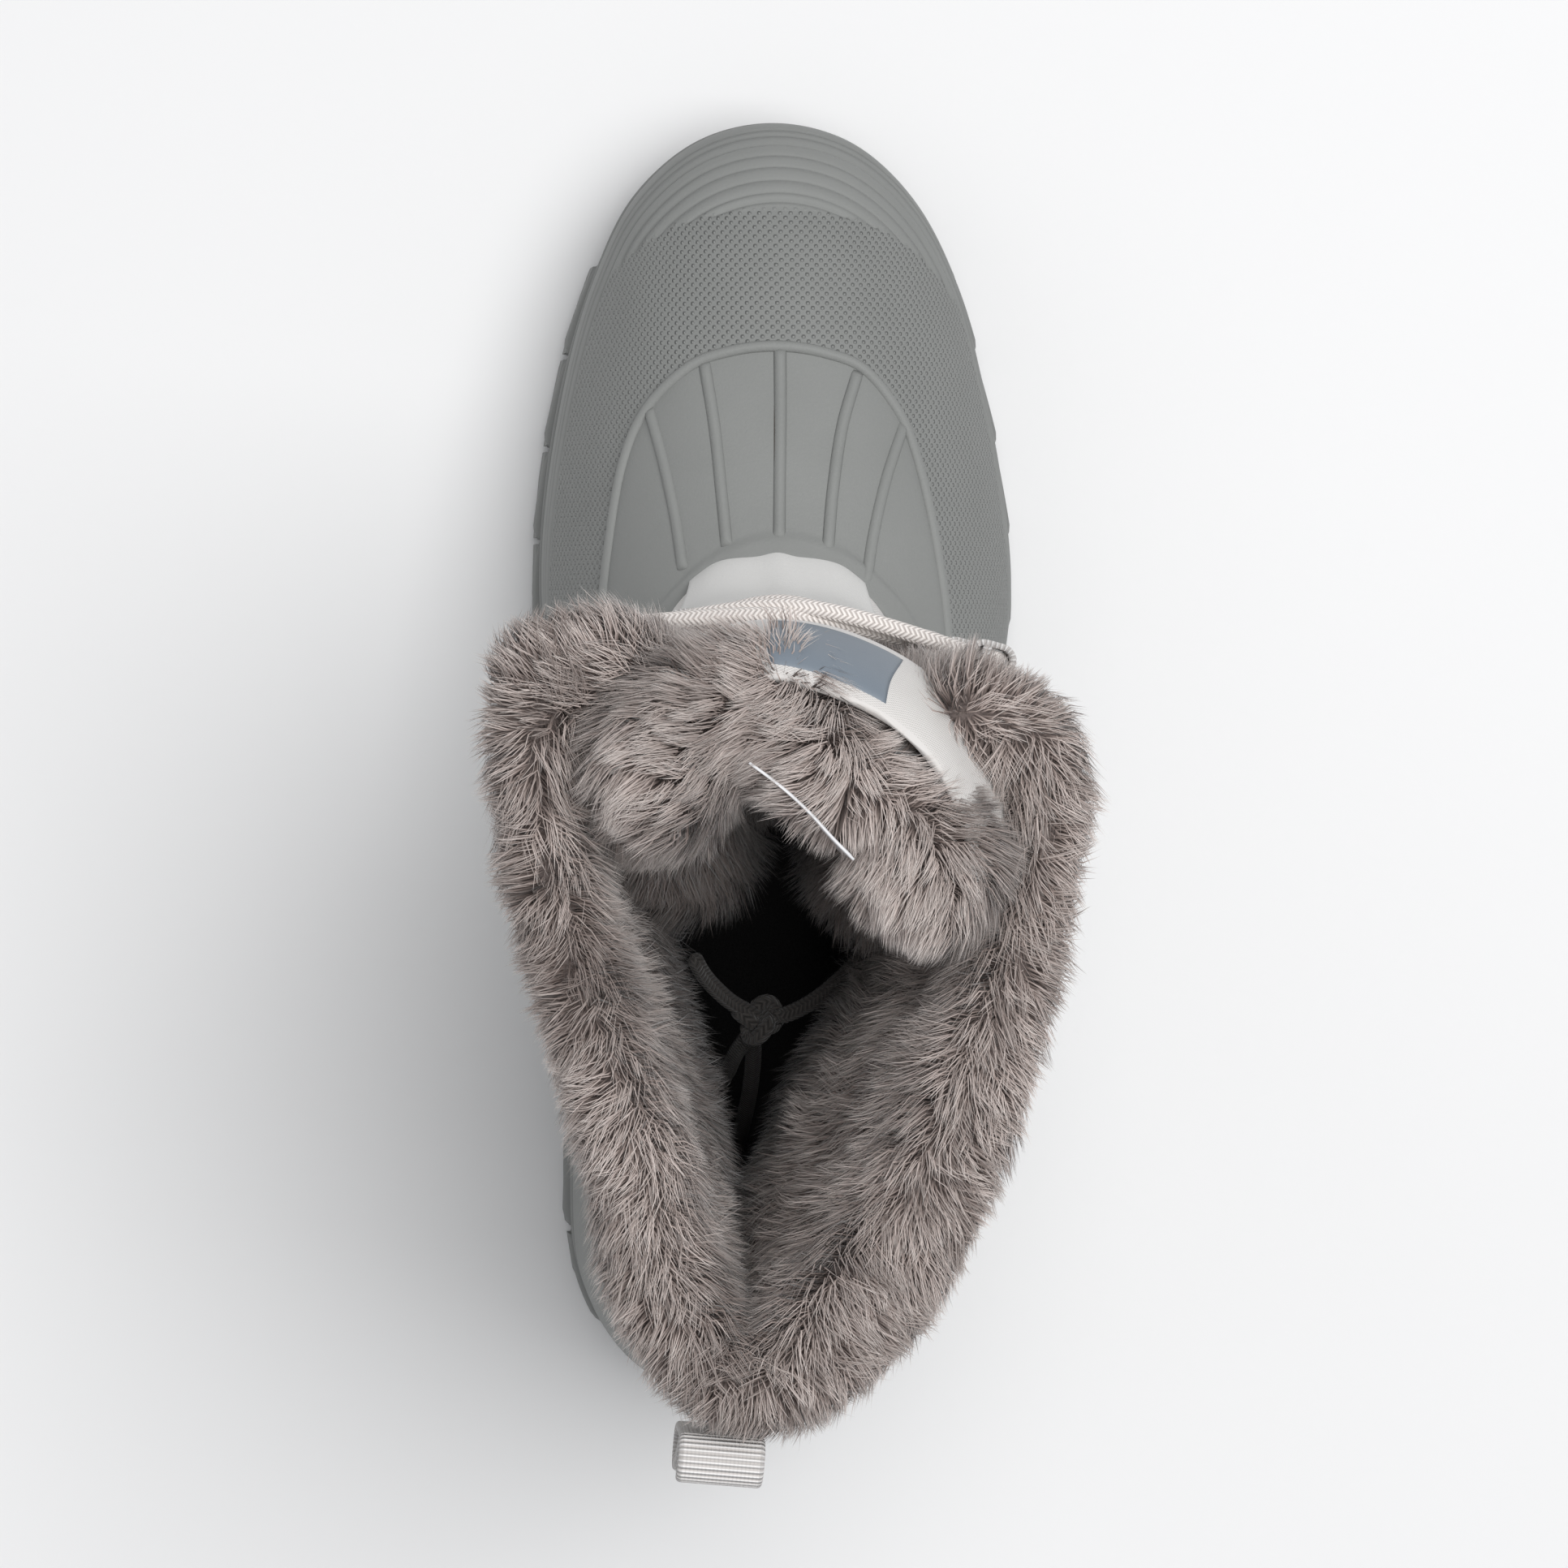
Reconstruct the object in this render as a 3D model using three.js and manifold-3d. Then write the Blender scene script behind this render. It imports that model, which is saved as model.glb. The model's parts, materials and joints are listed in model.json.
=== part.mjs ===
// A snow boot for the right foot: moulded rubber shell and outsole, fur-lined cloth shaft, tongue and laces.
// Millimetres. +Z is up, +Y points to the toe and +X to the outer side of the foot.
// The origin is on the ground under the middle of the heel.
import * as THREE from 'three';
import { mergeVertices } from 'three/addons/utils/BufferGeometryUtils.js';
import Module from 'manifold-3d';

const wasm = await Module();
wasm.setup();

// Driving dimensions
const GAP = 0.3; // between pieces that touch
const LUG_DEPTH = 5;
const SIDE_LUG_PROUD = 2;
const TOE_SPRING = 11;
const ARCH_LIFT = 4;
const HEEL_BEVEL = 2.5;
const HEEL_THICKNESS = 27; // ground to the feather line
const FORE_THICKNESS = 18;
const SHELL_WALL = 3;
const INSOLE_THICKNESS = 5;
const INSOLE_INSET = 8;
const COLLAR_BACK_HEIGHT = 238;
const COLLAR_FRONT_HEIGHT = 245;
const COLLAR_SKEW = 0.085; // how far the outer side of the collar lags behind the inner side
const LACE_RADIUS = 1.75;
const WEBBING_THICKNESS = 1.8;
const PULL_LOOP = { x: -15, y: -30.6, z: 211, height: 28, depth: 10, width: 17, turn: -5 };
const LOOP_LENGTH = 10; // lace loops, folded from narrow webbing
const LOOP_DEPTH = 6.9;
const LOOP_THICKNESS = 1.3;
const LOOP_WIDTH = 9;

// The shell from heel to toe, one row for each station. y, inner and outer are on the feather line.
// topY, topInner, topOuter and topZ are the same station's place on the top line, which ends at the throat.
// rise is how far the wall climbs before it turns over, and run how far it then lies along the instep.
const SHELL = [
  { y: -40, inner: 0, outer: 0, topY: -34, topInner: 0, topOuter: 0, topZ: 84, rise: 26, run: 3 },
  { y: -31, inner: -25, outer: 25, topY: -26.5, topInner: -21, topOuter: 21, topZ: 83, rise: 26, run: 3 },
  { y: -12, inner: -37.5, outer: 37.5, topY: -9, topInner: -32, topOuter: 32, topZ: 80, rise: 26, run: 3 },
  { y: 14, inner: -39.5, outer: 40, topY: 15, topInner: -34, topOuter: 35, topZ: 75, rise: 24, run: 3 },
  { y: 47, inner: -37.5, outer: 42, topY: 46, topInner: -33.5, topOuter: 37, topZ: 72, rise: 24, run: 4 },
  { y: 82, inner: -39, outer: 48, topY: 78, topInner: -33.5, topOuter: 40, topZ: 75, rise: 25, run: 6 },
  { y: 114, inner: -44, outer: 55, topY: 104, topInner: -31.5, topOuter: 39, topZ: 82, rise: 30, run: 9 },
  { y: 142, inner: -46.5, outer: 59, topY: 122, topInner: -27, topOuter: 35, topZ: 88, rise: 34, run: 14 },
  { y: 168, inner: -45, outer: 57, topY: 133, topInner: -21.5, topOuter: 29.5, topZ: 91, rise: 34, run: 20 },
  { y: 193, inner: -40.5, outer: 52, topY: 140.5, topInner: -15, topOuter: 23, topZ: 92, rise: 35, run: 32 },
  { y: 214, inner: -34, outer: 46, topY: 145, topInner: -9.5, topOuter: 17.5, topZ: 92.5, rise: 34, run: 44 },
  { y: 231, inner: -25.5, outer: 36.5, topY: 147.3, topInner: -5, topOuter: 13, topZ: 93, rise: 33, run: 52 },
  { y: 243, inner: -11.5, outer: 22.5, topY: 148.5, topInner: -0.5, topOuter: 8.5, topZ: 93,
    rise: 32, run: 57 },
  { y: 247, inner: 5.5, outer: 5.5, topY: 149, topInner: 4, topOuter: 4, topZ: 93, rise: 32, run: 59 },
];

// The shaft from inside the shell up to the collar, one row for each tilted ring.
// back and front are y on the middle line, heel is x of the ring's back and shift is x of its middle.
// rear, haunch, mid, corner and face are half widths at five places from back to front.
// wall is cloth and fur together.
const SHAFT = [
  { zBack: 57, zFront: 82, back: -34.5, front: 146.8, heel: 0, shift: 3, wall: 9,
    rear: 27, haunch: 32, mid: 34, corner: 27, face: 14 },
  { zBack: 80, zFront: 92, back: -33, front: 146.8, heel: 0, shift: 3, wall: 11,
    rear: 26, haunch: 31.5, mid: 33, corner: 26, face: 14 },
  { zBack: 102, zFront: 106, back: -33, front: 139.5, heel: -2, shift: 2, wall: 15,
    rear: 26, haunch: 32.5, mid: 35, corner: 30, face: 18 },
  { zBack: 132, zFront: 132, back: -32, front: 132, heel: -4, shift: 1, wall: 19,
    rear: 26, haunch: 34, mid: 39, corner: 38, face: 20 },
  { zBack: 166, zFront: 166, back: -30, front: 129.5, heel: -6, shift: -1, wall: 20,
    rear: 26, haunch: 35.5, mid: 44, corner: 46, face: 28 },
  { zBack: 200, zFront: 202, back: -27, front: 128.5, heel: -8, shift: -2, wall: 17,
    rear: 26, haunch: 37, mid: 48, corner: 52, face: 38 },
  { zBack: 227, zFront: 234, back: -24.5, front: 127.4, heel: -10, shift: -2, wall: 13,
    rear: 26, haunch: 38.5, mid: 51, corner: 56.5, face: 45 },
];
const RING_PLACES = { rear: 0.12, haunch: 0.33, mid: 0.61, corner: 0.885, face: 0.985 };
const NARROWEST_INSIDE = 3.5;

// The front slot in the shaft: its lowest point and its edges at the top.
const SLOT = { x: 3, bottom: 120, radius: 15, topInner: -42, topOuter: 38, back: 96, front: 175, top: 265 };

// The tongue, one row for each level. front is y on its middle line, wide and deep are the half axes of its
// curved outside, the curl runs from one angle to the other, where 90 degrees faces the toe, and skew is how
// far its outer side lags behind its inner side.
const TONGUE = [
  { z: 86, x: 3, front: 130, wide: 25, deep: 26, from: 38, to: 142, thick: 7, skew: 0 },
  { z: 108, x: 3, front: 125, wide: 27, deep: 28, from: 25, to: 155, thick: 9, skew: 0 },
  { z: 138, x: 2, front: 124, wide: 29, deep: 30, from: 8, to: 172, thick: 17, skew: 0 },
  { z: 168, x: 0, front: 126.5, wide: 33, deep: 34, from: -12, to: 192, thick: 23, skew: 0.02 },
  { z: 200, x: 0, front: 132, wide: 40, deep: 37, from: -34, to: 206, thick: 25, skew: 0.07 },
  { z: 224, x: 0.5, front: 135, wide: 42.5, deep: 38, from: -48, to: 216, thick: 27, skew: 0.1 },
  { z: 245, x: -2, front: 129.5, wide: 39, deep: 34, from: -46, to: 218, thick: 25, skew: 0.18 },
  { z: 254, x: -2, front: 125, wide: 35, deep: 30, from: -42, to: 212, thick: 16, skew: 0.2 },
];

// The lace loops sewn beside the slot, one row for each pair: the middle of each loop's hole.
const LACE_LOOPS = [
  { z: 140, innerX: -18, innerY: 133.9, outerX: 23, outerY: 131.9 },
  { z: 163, innerX: -25, innerY: 132.6, outerX: 29, outerY: 129.4 },
  { z: 186, innerX: -32, innerY: 132.6, outerX: 35, outerY: 127.4 },
  { z: 209, innerX: -38, innerY: 133.2, outerX: 39, outerY: 126.8 },
];

const COLOURS = {
  rubber: [0x8c8e8b, 0.75],
  nylon: [0xd8d5d1, 0.85],
  fur: [0xa39893, 0.95],
  felt: [0xb5b0aa, 0.95],
  lace: [0xddd3cb, 0.8],
};

const boot = new THREE.Group();
boot.name = 'snow_boot';

function addPiece(name, geometry, [color, roughness]) {
  const mesh = new THREE.Mesh(geometry, new THREE.MeshStandardMaterial({ color, roughness, metalness: 0 }));
  mesh.name = name;
  boot.add(mesh);
}

// ---------------------------------------------------------------------------------------------- solids

function smoothStep(from, to, value) {
  const t = THREE.MathUtils.clamp((value - from) / (to - from), 0, 1);
  return t * t * (3 - 2 * t);
}

// A solid of manifold-3d from any closed geometry.
function solidOf(geometry) {
  const bare = geometry.clone();
  bare.deleteAttribute('normal');
  bare.deleteAttribute('uv');
  const merged = mergeVertices(bare, 1e-4);
  return new wasm.Manifold(new wasm.Mesh({
    numProp: 3,
    vertProperties: new Float32Array(merged.attributes.position.array),
    triVerts: new Uint32Array(merged.index.array),
  }));
}

// A geometry from a solid of manifold-3d.
function geometryOf(solid) {
  const mesh = solid.getMesh();
  const points = [];
  for (let i = 0; i < mesh.vertProperties.length; i += mesh.numProp) {
    points.push(mesh.vertProperties[i], mesh.vertProperties[i + 1], mesh.vertProperties[i + 2]);
  }
  const geometry = new THREE.BufferGeometry();
  geometry.setAttribute('position', new THREE.Float32BufferAttribute(points, 3));
  geometry.setIndex(Array.from(mesh.triVerts));
  return geometry;
}

// A geometry from points and triangles, turned right side out if its volume comes out negative.
function closedGeometry(points, triangles) {
  let volume = 0;
  for (const [a, b, c] of triangles) {
    volume += points[a].dot(new THREE.Vector3().crossVectors(points[b], points[c]));
  }
  const index = triangles.flatMap(([a, b, c]) => (volume > 0 ? [a, b, c] : [a, c, b]));
  const geometry = new THREE.BufferGeometry().setFromPoints(points);
  geometry.setIndex(index);
  return geometry;
}

function bandTriangles(lower, upper, count) {
  const triangles = [];
  for (let i = 0; i < count; i++) {
    const next = (i + 1) % count;
    triangles.push([lower + i, lower + next, upper + next], [lower + i, upper + next, upper + i]);
  }
  return triangles;
}

// A closed wall from a stack of rings, whose last ring joins the first.
function wallGeometry(rings) {
  const count = rings[0].length;
  const start = (r) => (r % rings.length) * count;
  const triangles = rings.flatMap((_, r) => bandTriangles(start(r), start(r + 1), count));
  return closedGeometry(rings.flat(), triangles);
}

// A closed block from a stack of rings. Each end is closed by a ladder between the ring's two sides,
// which mirror each other about point 0 when pivot is 0, or lie back to back when pivot is -1.
function blockGeometry(rings, pivot = 0) {
  const count = rings[0].length;
  const triangles = [];
  for (let r = 0; r + 1 < rings.length; r++) {
    triangles.push(...bandTriangles(r * count, (r + 1) * count, count));
  }
  const last = (rings.length - 1) * count;
  for (let i = 0; i < count / 2; i++) {
    const [a, b] = [i, i + 1];
    const [d, c] = [(count - a + pivot) % count, (count - b + pivot) % count];
    for (const [p, q, s] of [[a, b, c], [a, c, d]]) {
      if (p !== q && q !== s && s !== p) {
        triangles.push([s, q, p], [last + p, last + q, last + s]);
      }
    }
  }
  return closedGeometry(rings.flat(), triangles);
}

// Points all round a closed curve that starts at the heel, runs up the inner side and back down the outer.
function aroundRows(rows, place, perRow) {
  const inner = rows.map((row) => place(row, 'inner'));
  const outer = rows.slice(1, -1).map((row) => place(row, 'outer')).reverse();
  const curve = new THREE.CatmullRomCurve3([...inner, ...outer], true, 'catmullrom', 0.5);
  const count = (inner.length + outer.length) * perRow;
  return Array.from({ length: count }, (_, i) => curve.getPoint(i / count));
}

// A ring in plan, moved outwards by a distance. Rings run clockwise from above, so left is outwards.
function grownRing(ring, distance) {
  return ring.map((point, i) => {
    const before = ring[(i + ring.length - 1) % ring.length];
    const after = ring[(i + 1) % ring.length];
    const along = new THREE.Vector2(after.x - before.x, after.y - before.y).normalize();
    return new THREE.Vector3(point.x - along.y * distance, point.y + along.x * distance, point.z);
  });
}

// ----------------------------------------------------------------------------------------------- sole

function toeLift(y) {
  return TOE_SPRING * Math.max(0, (y - 186) / 61) ** 2;
}

// Height of the tread above the ground: 0 under the heel and the ball of the foot.
function treadHeight(y) {
  const arch = ARCH_LIFT * smoothStep(30, 58, y) * (1 - smoothStep(88, 118, y));
  const bevel = HEEL_BEVEL * Math.max(0, (-30 - y) / 10) ** 2;
  return toeLift(y) + arch + bevel;
}

function featherHeight(y) {
  return toeLift(y) + THREE.MathUtils.lerp(HEEL_THICKNESS, FORE_THICKNESS, smoothStep(30, 120, y));
}

function soleRing(perRow, distance, height) {
  const ring = aroundRows(SHELL, (row, side) => new THREE.Vector3(row[side], row.y, 0), perRow);
  return grownRing(ring, distance).map((p) => new THREE.Vector3(p.x, p.y, height(p.y)));
}

function turnedBox(x, y, width, length, degrees) {
  const box = new THREE.BoxGeometry(width, length, 60);
  box.rotateZ(THREE.MathUtils.degToRad(degrees));
  box.translate(x, y, 10);
  return solidOf(box);
}

// Bars of tread in pairs that lean back from a channel along the middle of the sole.
function treadBars() {
  const channel = 5;
  const channelMiddle = 5;
  const barLength = 11;
  const pitch = 17.5;
  const reach = 70;
  const lean = 9; // degrees
  const bars = [];
  for (const [first, count] of [[-40, 5], [119, 8]]) {
    for (let i = 0; i < count; i++) {
      const y = first + i * pitch;
      bars.push(turnedBox(channelMiddle - (channel + reach) / 2, y, reach, barLength, lean));
      bars.push(turnedBox(channelMiddle + (channel + reach) / 2, y, reach, barLength, -lean));
    }
  }
  return wasm.Manifold.union(bars);
}

// Short lugs that climb the side of the sole at the ball of the foot and the heel.
function sideBars() {
  const bars = [];
  const barLength = 19.5;
  for (const y of [-14, 8, 122.3, 143.3, 164.3, 185.3, 206.3]) {
    bars.push(turnedBox(-60, y, 70, barLength, 0));
    bars.push(turnedBox(70, y, 70, barLength, 0));
  }
  return wasm.Manifold.union(bars);
}

function outsoleGeometry() {
  const base = solidOf(blockGeometry([
    soleRing(3, -2.5, (y) => treadHeight(y) + LUG_DEPTH),
    soleRing(3, -0.4, (y) => treadHeight(y) + LUG_DEPTH + 2.5),
    soleRing(3, 0, (y) => featherHeight(y) - 4),
    soleRing(3, -0.6, featherHeight),
  ]));
  const treadLayer = solidOf(blockGeometry([
    soleRing(2, -2.2, treadHeight),
    soleRing(2, -1.2, (y) => treadHeight(y) + LUG_DEPTH + 1.5),
  ]));
  const sideLayer = solidOf(blockGeometry([
    soleRing(2, -0.5, (y) => treadHeight(y) + 1),
    soleRing(2, SIDE_LUG_PROUD, (y) => treadHeight(y) + 3.5),
    soleRing(2, SIDE_LUG_PROUD - 0.5, (y) => treadHeight(y) + 11),
    soleRing(2, -1.5, (y) => treadHeight(y) + 13),
  ]));
  return geometryOf(base.add(treadLayer.intersect(treadBars())).add(sideLayer.intersect(sideBars())));
}

// ---------------------------------------------------------------------------------------------- shell

// The shell's outer surface as rings from the feather line to the top line. Each station's wall is a
// cubic curve that leaves the sole upright, swells a little, and arrives along the instep at the top line.
function shellRings(perRow, levels) {
  const base = aroundRows(SHELL, (row, side) => new THREE.Vector3(row[side], row.y, 0), perRow);
  const top = aroundRows(
    SHELL,
    (row, side) => new THREE.Vector3(row[side === 'inner' ? 'topInner' : 'topOuter'], row.topY, row.topZ),
    perRow,
  );
  const shape = aroundRows(SHELL, (row) => new THREE.Vector3(row.rise, row.run, 0), perRow);
  const swollen = grownRing(base, 2);
  return Array.from({ length: levels + 1 }, (_, level) => base.map((point, i) => {
    const foot = new THREE.Vector3(point.x, point.y, featherHeight(point.y) + GAP);
    const knee = new THREE.Vector3(swollen[i].x, swollen[i].y, foot.z + shape[i].x);
    const back = new THREE.Vector3().subVectors(knee, top[i]).setLength(shape[i].y);
    const shoulder = top[i].clone().add(back);
    shoulder.z = Math.max(shoulder.z, top[i].z - 3 - 0.24 * shape[i].y);
    return new THREE.CubicBezierCurve3(foot, knee, shoulder, top[i]).getPoint(level / levels);
  }));
}

// Rings moved along the surface's own normal, so that a wall has one thickness all over.
function offsetRings(rings, distance) {
  const count = rings[0].length;
  return rings.map((ring, r) => ring.map((point, i) => {
    const lower = rings[Math.max(0, r - 1)];
    const upper = rings[Math.min(rings.length - 1, r + 1)];
    const up = new THREE.Vector3().subVectors(upper[i], lower[i]);
    const along = new THREE.Vector3().subVectors(ring[(i + 1) % count], ring[(i + count - 1) % count]);
    const normal = new THREE.Vector3().crossVectors(up, along).normalize();
    return point.clone().addScaledVector(normal, distance);
  }));
}

function levelledFoot(rings) {
  return rings.map((ring, r) => (r > 0 ? ring : ring.map((p) => new THREE.Vector3(
    p.x, p.y, featherHeight(p.y) + GAP,
  ))));
}

function shellGeometry(outwards, inwards, beyond) {
  const rings = shellRings(3, 7);
  const [below, top] = rings.slice(-2);
  rings[rings.length - 1] = top.map((point, i) => {
    const past = new THREE.Vector3().subVectors(point, below[i]).setLength(beyond);
    return past.add(point);
  });
  const outside = levelledFoot(offsetRings(rings, outwards));
  const inside = levelledFoot(offsetRings(rings, -inwards)).reverse();
  return wallGeometry([...outside, ...inside]);
}

// ---------------------------------------------------------------------------------------------- shaft

// One ring of the shaft, moved in by a distance all round.
function shaftRing(row, distance, perPlace, zShift = 0) {
  const back = row.back + distance;
  const front = row.front - distance;
  const places = Object.keys(RING_PLACES);
  const centre = (name) => {
    const share = Math.min(1, RING_PLACES[name] / RING_PLACES.haunch);
    return THREE.MathUtils.lerp(row.heel, row.shift, share);
  };
  const side = (name, sign) => new THREE.Vector3(
    centre(name) + sign * Math.max(row[name] - distance, NARROWEST_INSIDE * (0.4 + RING_PLACES[name])),
    back + RING_PLACES[name] * (front - back),
    0,
  );
  const outline = [
    new THREE.Vector3(row.heel, back, 0),
    ...places.map((name) => side(name, -1)),
    new THREE.Vector3(row.shift, front, 0),
    ...places.map((name) => side(name, 1)).reverse(),
  ];
  const curve = new THREE.CatmullRomCurve3(outline, true, 'catmullrom', 0.5);
  const skew = COLLAR_SKEW * smoothStep(100, 235, row.zFront);
  const count = outline.length * perPlace;
  return Array.from({ length: count }, (_, i) => {
    const p = curve.getPoint(i / count);
    const along = (p.y - row.back) / (row.front - row.back);
    const z = THREE.MathUtils.lerp(row.zBack, row.zFront, along) + zShift;
    return new THREE.Vector3(p.x, p.y - skew * p.x, z);
  });
}

function slotSolid(narrowing) {
  const { x, bottom, radius, topInner, topOuter, back, front, top } = SLOT;
  const outline = new THREE.Shape();
  const [left, right, low] = [x - radius + narrowing, x + radius - narrowing, bottom + narrowing];
  outline.moveTo(topInner + narrowing, top);
  outline.lineTo(left, bottom + radius);
  outline.quadraticCurveTo(left, low, x, low);
  outline.quadraticCurveTo(right, low, right, bottom + radius);
  outline.lineTo(topOuter - narrowing, top);
  outline.closePath();
  const depth = front - back;
  const block = new THREE.ExtrudeGeometry(outline, { depth, bevelEnabled: false, curveSegments: 5 });
  block.rotateX(Math.PI / 2);
  block.translate(0, front, 0);
  return solidOf(block);
}

// The whole shaft with its slot, grown all over by a distance for cutting its neighbours.
function shaftSolid(growth) {
  const outside = SHAFT.map((row) => shaftRing(row, -growth, 3));
  const inside = SHAFT.map((row) => shaftRing(row, row.wall + growth, 3));
  const top = SHAFT[SHAFT.length - 1];
  const crest = [0.22, 0.5, 0.78].map((share, i) => shaftRing(
    { ...top, zBack: COLLAR_BACK_HEIGHT, zFront: COLLAR_FRONT_HEIGHT },
    top.wall * share,
    3,
    growth + (i === 1 ? 0 : -2.5),
  ));
  const wall = solidOf(wallGeometry([...outside, ...crest, ...inside.reverse()]));
  return wall.subtract(slotSolid(growth));
}

// ---------------------------------------------------------------------------------------------- tongue

function tongueRing(row, steps) {
  const point = (degrees, depth) => {
    const angle = THREE.MathUtils.degToRad(degrees);
    const x = row.x + (row.wide - depth) * Math.cos(angle);
    const y = row.front - row.deep + (row.deep - depth) * Math.sin(angle);
    return new THREE.Vector3(x, y - row.skew * x, row.z);
  };
  const angles = Array.from({ length: steps + 1 }, (_, i) => row.from + ((row.to - row.from) * i) / steps);
  const rounding = 6;
  const start = [point(row.from - rounding, row.thick * 0.3), point(row.from - rounding, row.thick * 0.7)];
  const end = [point(row.to + rounding, row.thick * 0.7), point(row.to + rounding, row.thick * 0.3)];
  const outside = angles.map((a) => point(a, 0));
  const inside = angles.map((a) => point(a, row.thick)).reverse();
  return [start[0], ...outside, end[1], end[0], ...inside, start[1]];
}

// ------------------------------------------------------------------------------- webbing and the lace

// A flat oval ring of webbing, standing on its edge, with its length along x and its width along z.
function webbingRing(length, depth, thickness, width) {
  const oval = (path, inset) => {
    const radius = depth / 2 - inset;
    const straight = length / 2 - depth / 2;
    path.moveTo(-straight, -radius);
    path.lineTo(straight, -radius);
    path.absarc(straight, 0, radius, -Math.PI / 2, Math.PI / 2, false);
    path.lineTo(-straight, radius);
    path.absarc(-straight, 0, radius, Math.PI / 2, Math.PI * 1.5, false);
    return path;
  };
  const outline = oval(new THREE.Shape(), 0);
  outline.holes.push(oval(new THREE.Path(), thickness));
  const ring = new THREE.ExtrudeGeometry(outline, { depth: width, bevelEnabled: false, curveSegments: 4 });
  ring.translate(0, 0, -width / 2);
  return ring;
}

function pullLoopGeometry() {
  const ring = webbingRing(PULL_LOOP.height, PULL_LOOP.depth, WEBBING_THICKNESS, PULL_LOOP.width);
  ring.rotateY(Math.PI / 2);
  ring.rotateZ(THREE.MathUtils.degToRad(PULL_LOOP.turn));
  ring.translate(PULL_LOOP.x, PULL_LOOP.y, PULL_LOOP.z);
  return ring;
}

// The holes of the lace loops, from the throat up: one pair for each row of LACE_LOOPS.
function loopHoles(side) {
  return LACE_LOOPS.map((row) => new THREE.Vector3(row[`${side}X`], row[`${side}Y`], row.z));
}

function laceLoopGeometry(hole, turn) {
  const ring = webbingRing(LOOP_LENGTH, LOOP_DEPTH, LOOP_THICKNESS, LOOP_WIDTH);
  ring.rotateZ(THREE.MathUtils.degToRad(turn));
  ring.translate(hole.x, hole.y, hole.z);
  return ring;
}

// A round cord along a smooth curve through its points.
function cordSolid(points) {
  const curve = new THREE.CatmullRomCurve3(points, false, 'centripetal');
  const section = new THREE.Shape(Array.from({ length: 8 }, (_, i) => new THREE.Vector2(
    LACE_RADIUS * Math.cos((i * Math.PI) / 4),
    LACE_RADIUS * Math.sin((i * Math.PI) / 4),
  )));
  const steps = Math.round(curve.getLength() / (5 * LACE_RADIUS));
  return solidOf(new THREE.ExtrudeGeometry(section, { steps, extrudePath: curve, bevelEnabled: false }));
}

// One strand of the lace: from the bar over the throat it climbs through the loops of alternate sides.
function strandPoints(firstSide) {
  const holes = { inner: loopHoles('inner'), outer: loopHoles('outer') };
  const otherSide = { inner: 'outer', outer: 'inner' };
  const points = [new THREE.Vector3(3, 136.8, 127.5)];
  const forward = firstSide === 'inner' ? 4.4 : 2;
  let side = firstSide;
  holes.inner.forEach((_, i) => {
    const hole = holes[side][i];
    if (i > 0) {
      const from = holes[otherSide[side]][i - 1];
      points.push(new THREE.Vector3(2, Math.max(from.y, hole.y) + forward, (from.z + hole.z) / 2));
    }
    points.push(hole.clone().setZ(hole.z - 5), hole.clone().setZ(hole.z + 5));
    side = otherSide[side];
  });
  return points;
}

// The knot and the two ends of the lace, which go back into the shaft behind the tongue.
const KNOT = new THREE.Vector3(-4, 52, 146);
const KNOT_RADII = new THREE.Vector3(6, 5, 4.5);
const LONG_END = [
  [20, 71, 160], [16, 64, 154], [9, 57, 149], [2, 53, 146.5], [-4, 52, 146],
  [-4.5, 49, 139], [-4, 43, 128], [-4, 35, 113], [-4.5, 28, 98], [-5, 22.5, 82],
  [-5.5, 19.5, 66], [-5.5, 18.5, 50], [-5.5, 18.5, 37],
].map((p) => new THREE.Vector3(...p));
const SHORT_END = [
  [-18, 66, 158], [-15, 61, 153], [-10, 56, 149], [-4, 52, 146],
  [-6, 48, 141], [-8, 44, 133], [-9, 40, 122], [-9.5, 37.5, 110], [-9.5, 36.5, 99],
].map((p) => new THREE.Vector3(...p));

function knotSolid() {
  const knot = new THREE.SphereGeometry(1, 12, 8);
  knot.scale(KNOT_RADII.x, KNOT_RADII.y, KNOT_RADII.z);
  knot.translate(KNOT.x, KNOT.y, KNOT.z);
  return solidOf(knot);
}

// ---------------------------------------------------------------------------------------------- pieces

const shell = shellGeometry(0, SHELL_WALL, 0);
const shellClearance = solidOf(shellGeometry(2, SHELL_WALL + GAP, 1));
const shaft = shaftSolid(0).subtract(shellClearance);
const shaftClearance = shaftSolid(GAP);
const tongue = solidOf(blockGeometry(TONGUE.map((row) => tongueRing(row, 12)), -1));
const insole = blockGeometry([
  soleRing(2, -INSOLE_INSET, (y) => featherHeight(y) + GAP),
  soleRing(2, -INSOLE_INSET, (y) => featherHeight(y) + GAP + INSOLE_THICKNESS),
]);

addPiece('outsole', outsoleGeometry(), COLOURS.rubber);
addPiece('shell', shell, COLOURS.rubber);
addPiece('shaft', geometryOf(shaft), COLOURS.nylon);
addPiece('tongue', geometryOf(tongue.subtract(shaftClearance)), COLOURS.fur);
addPiece('insole', insole, COLOURS.felt);
addPiece('pull_loop', geometryOf(solidOf(pullLoopGeometry()).subtract(shaftClearance)), COLOURS.lace);

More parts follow.
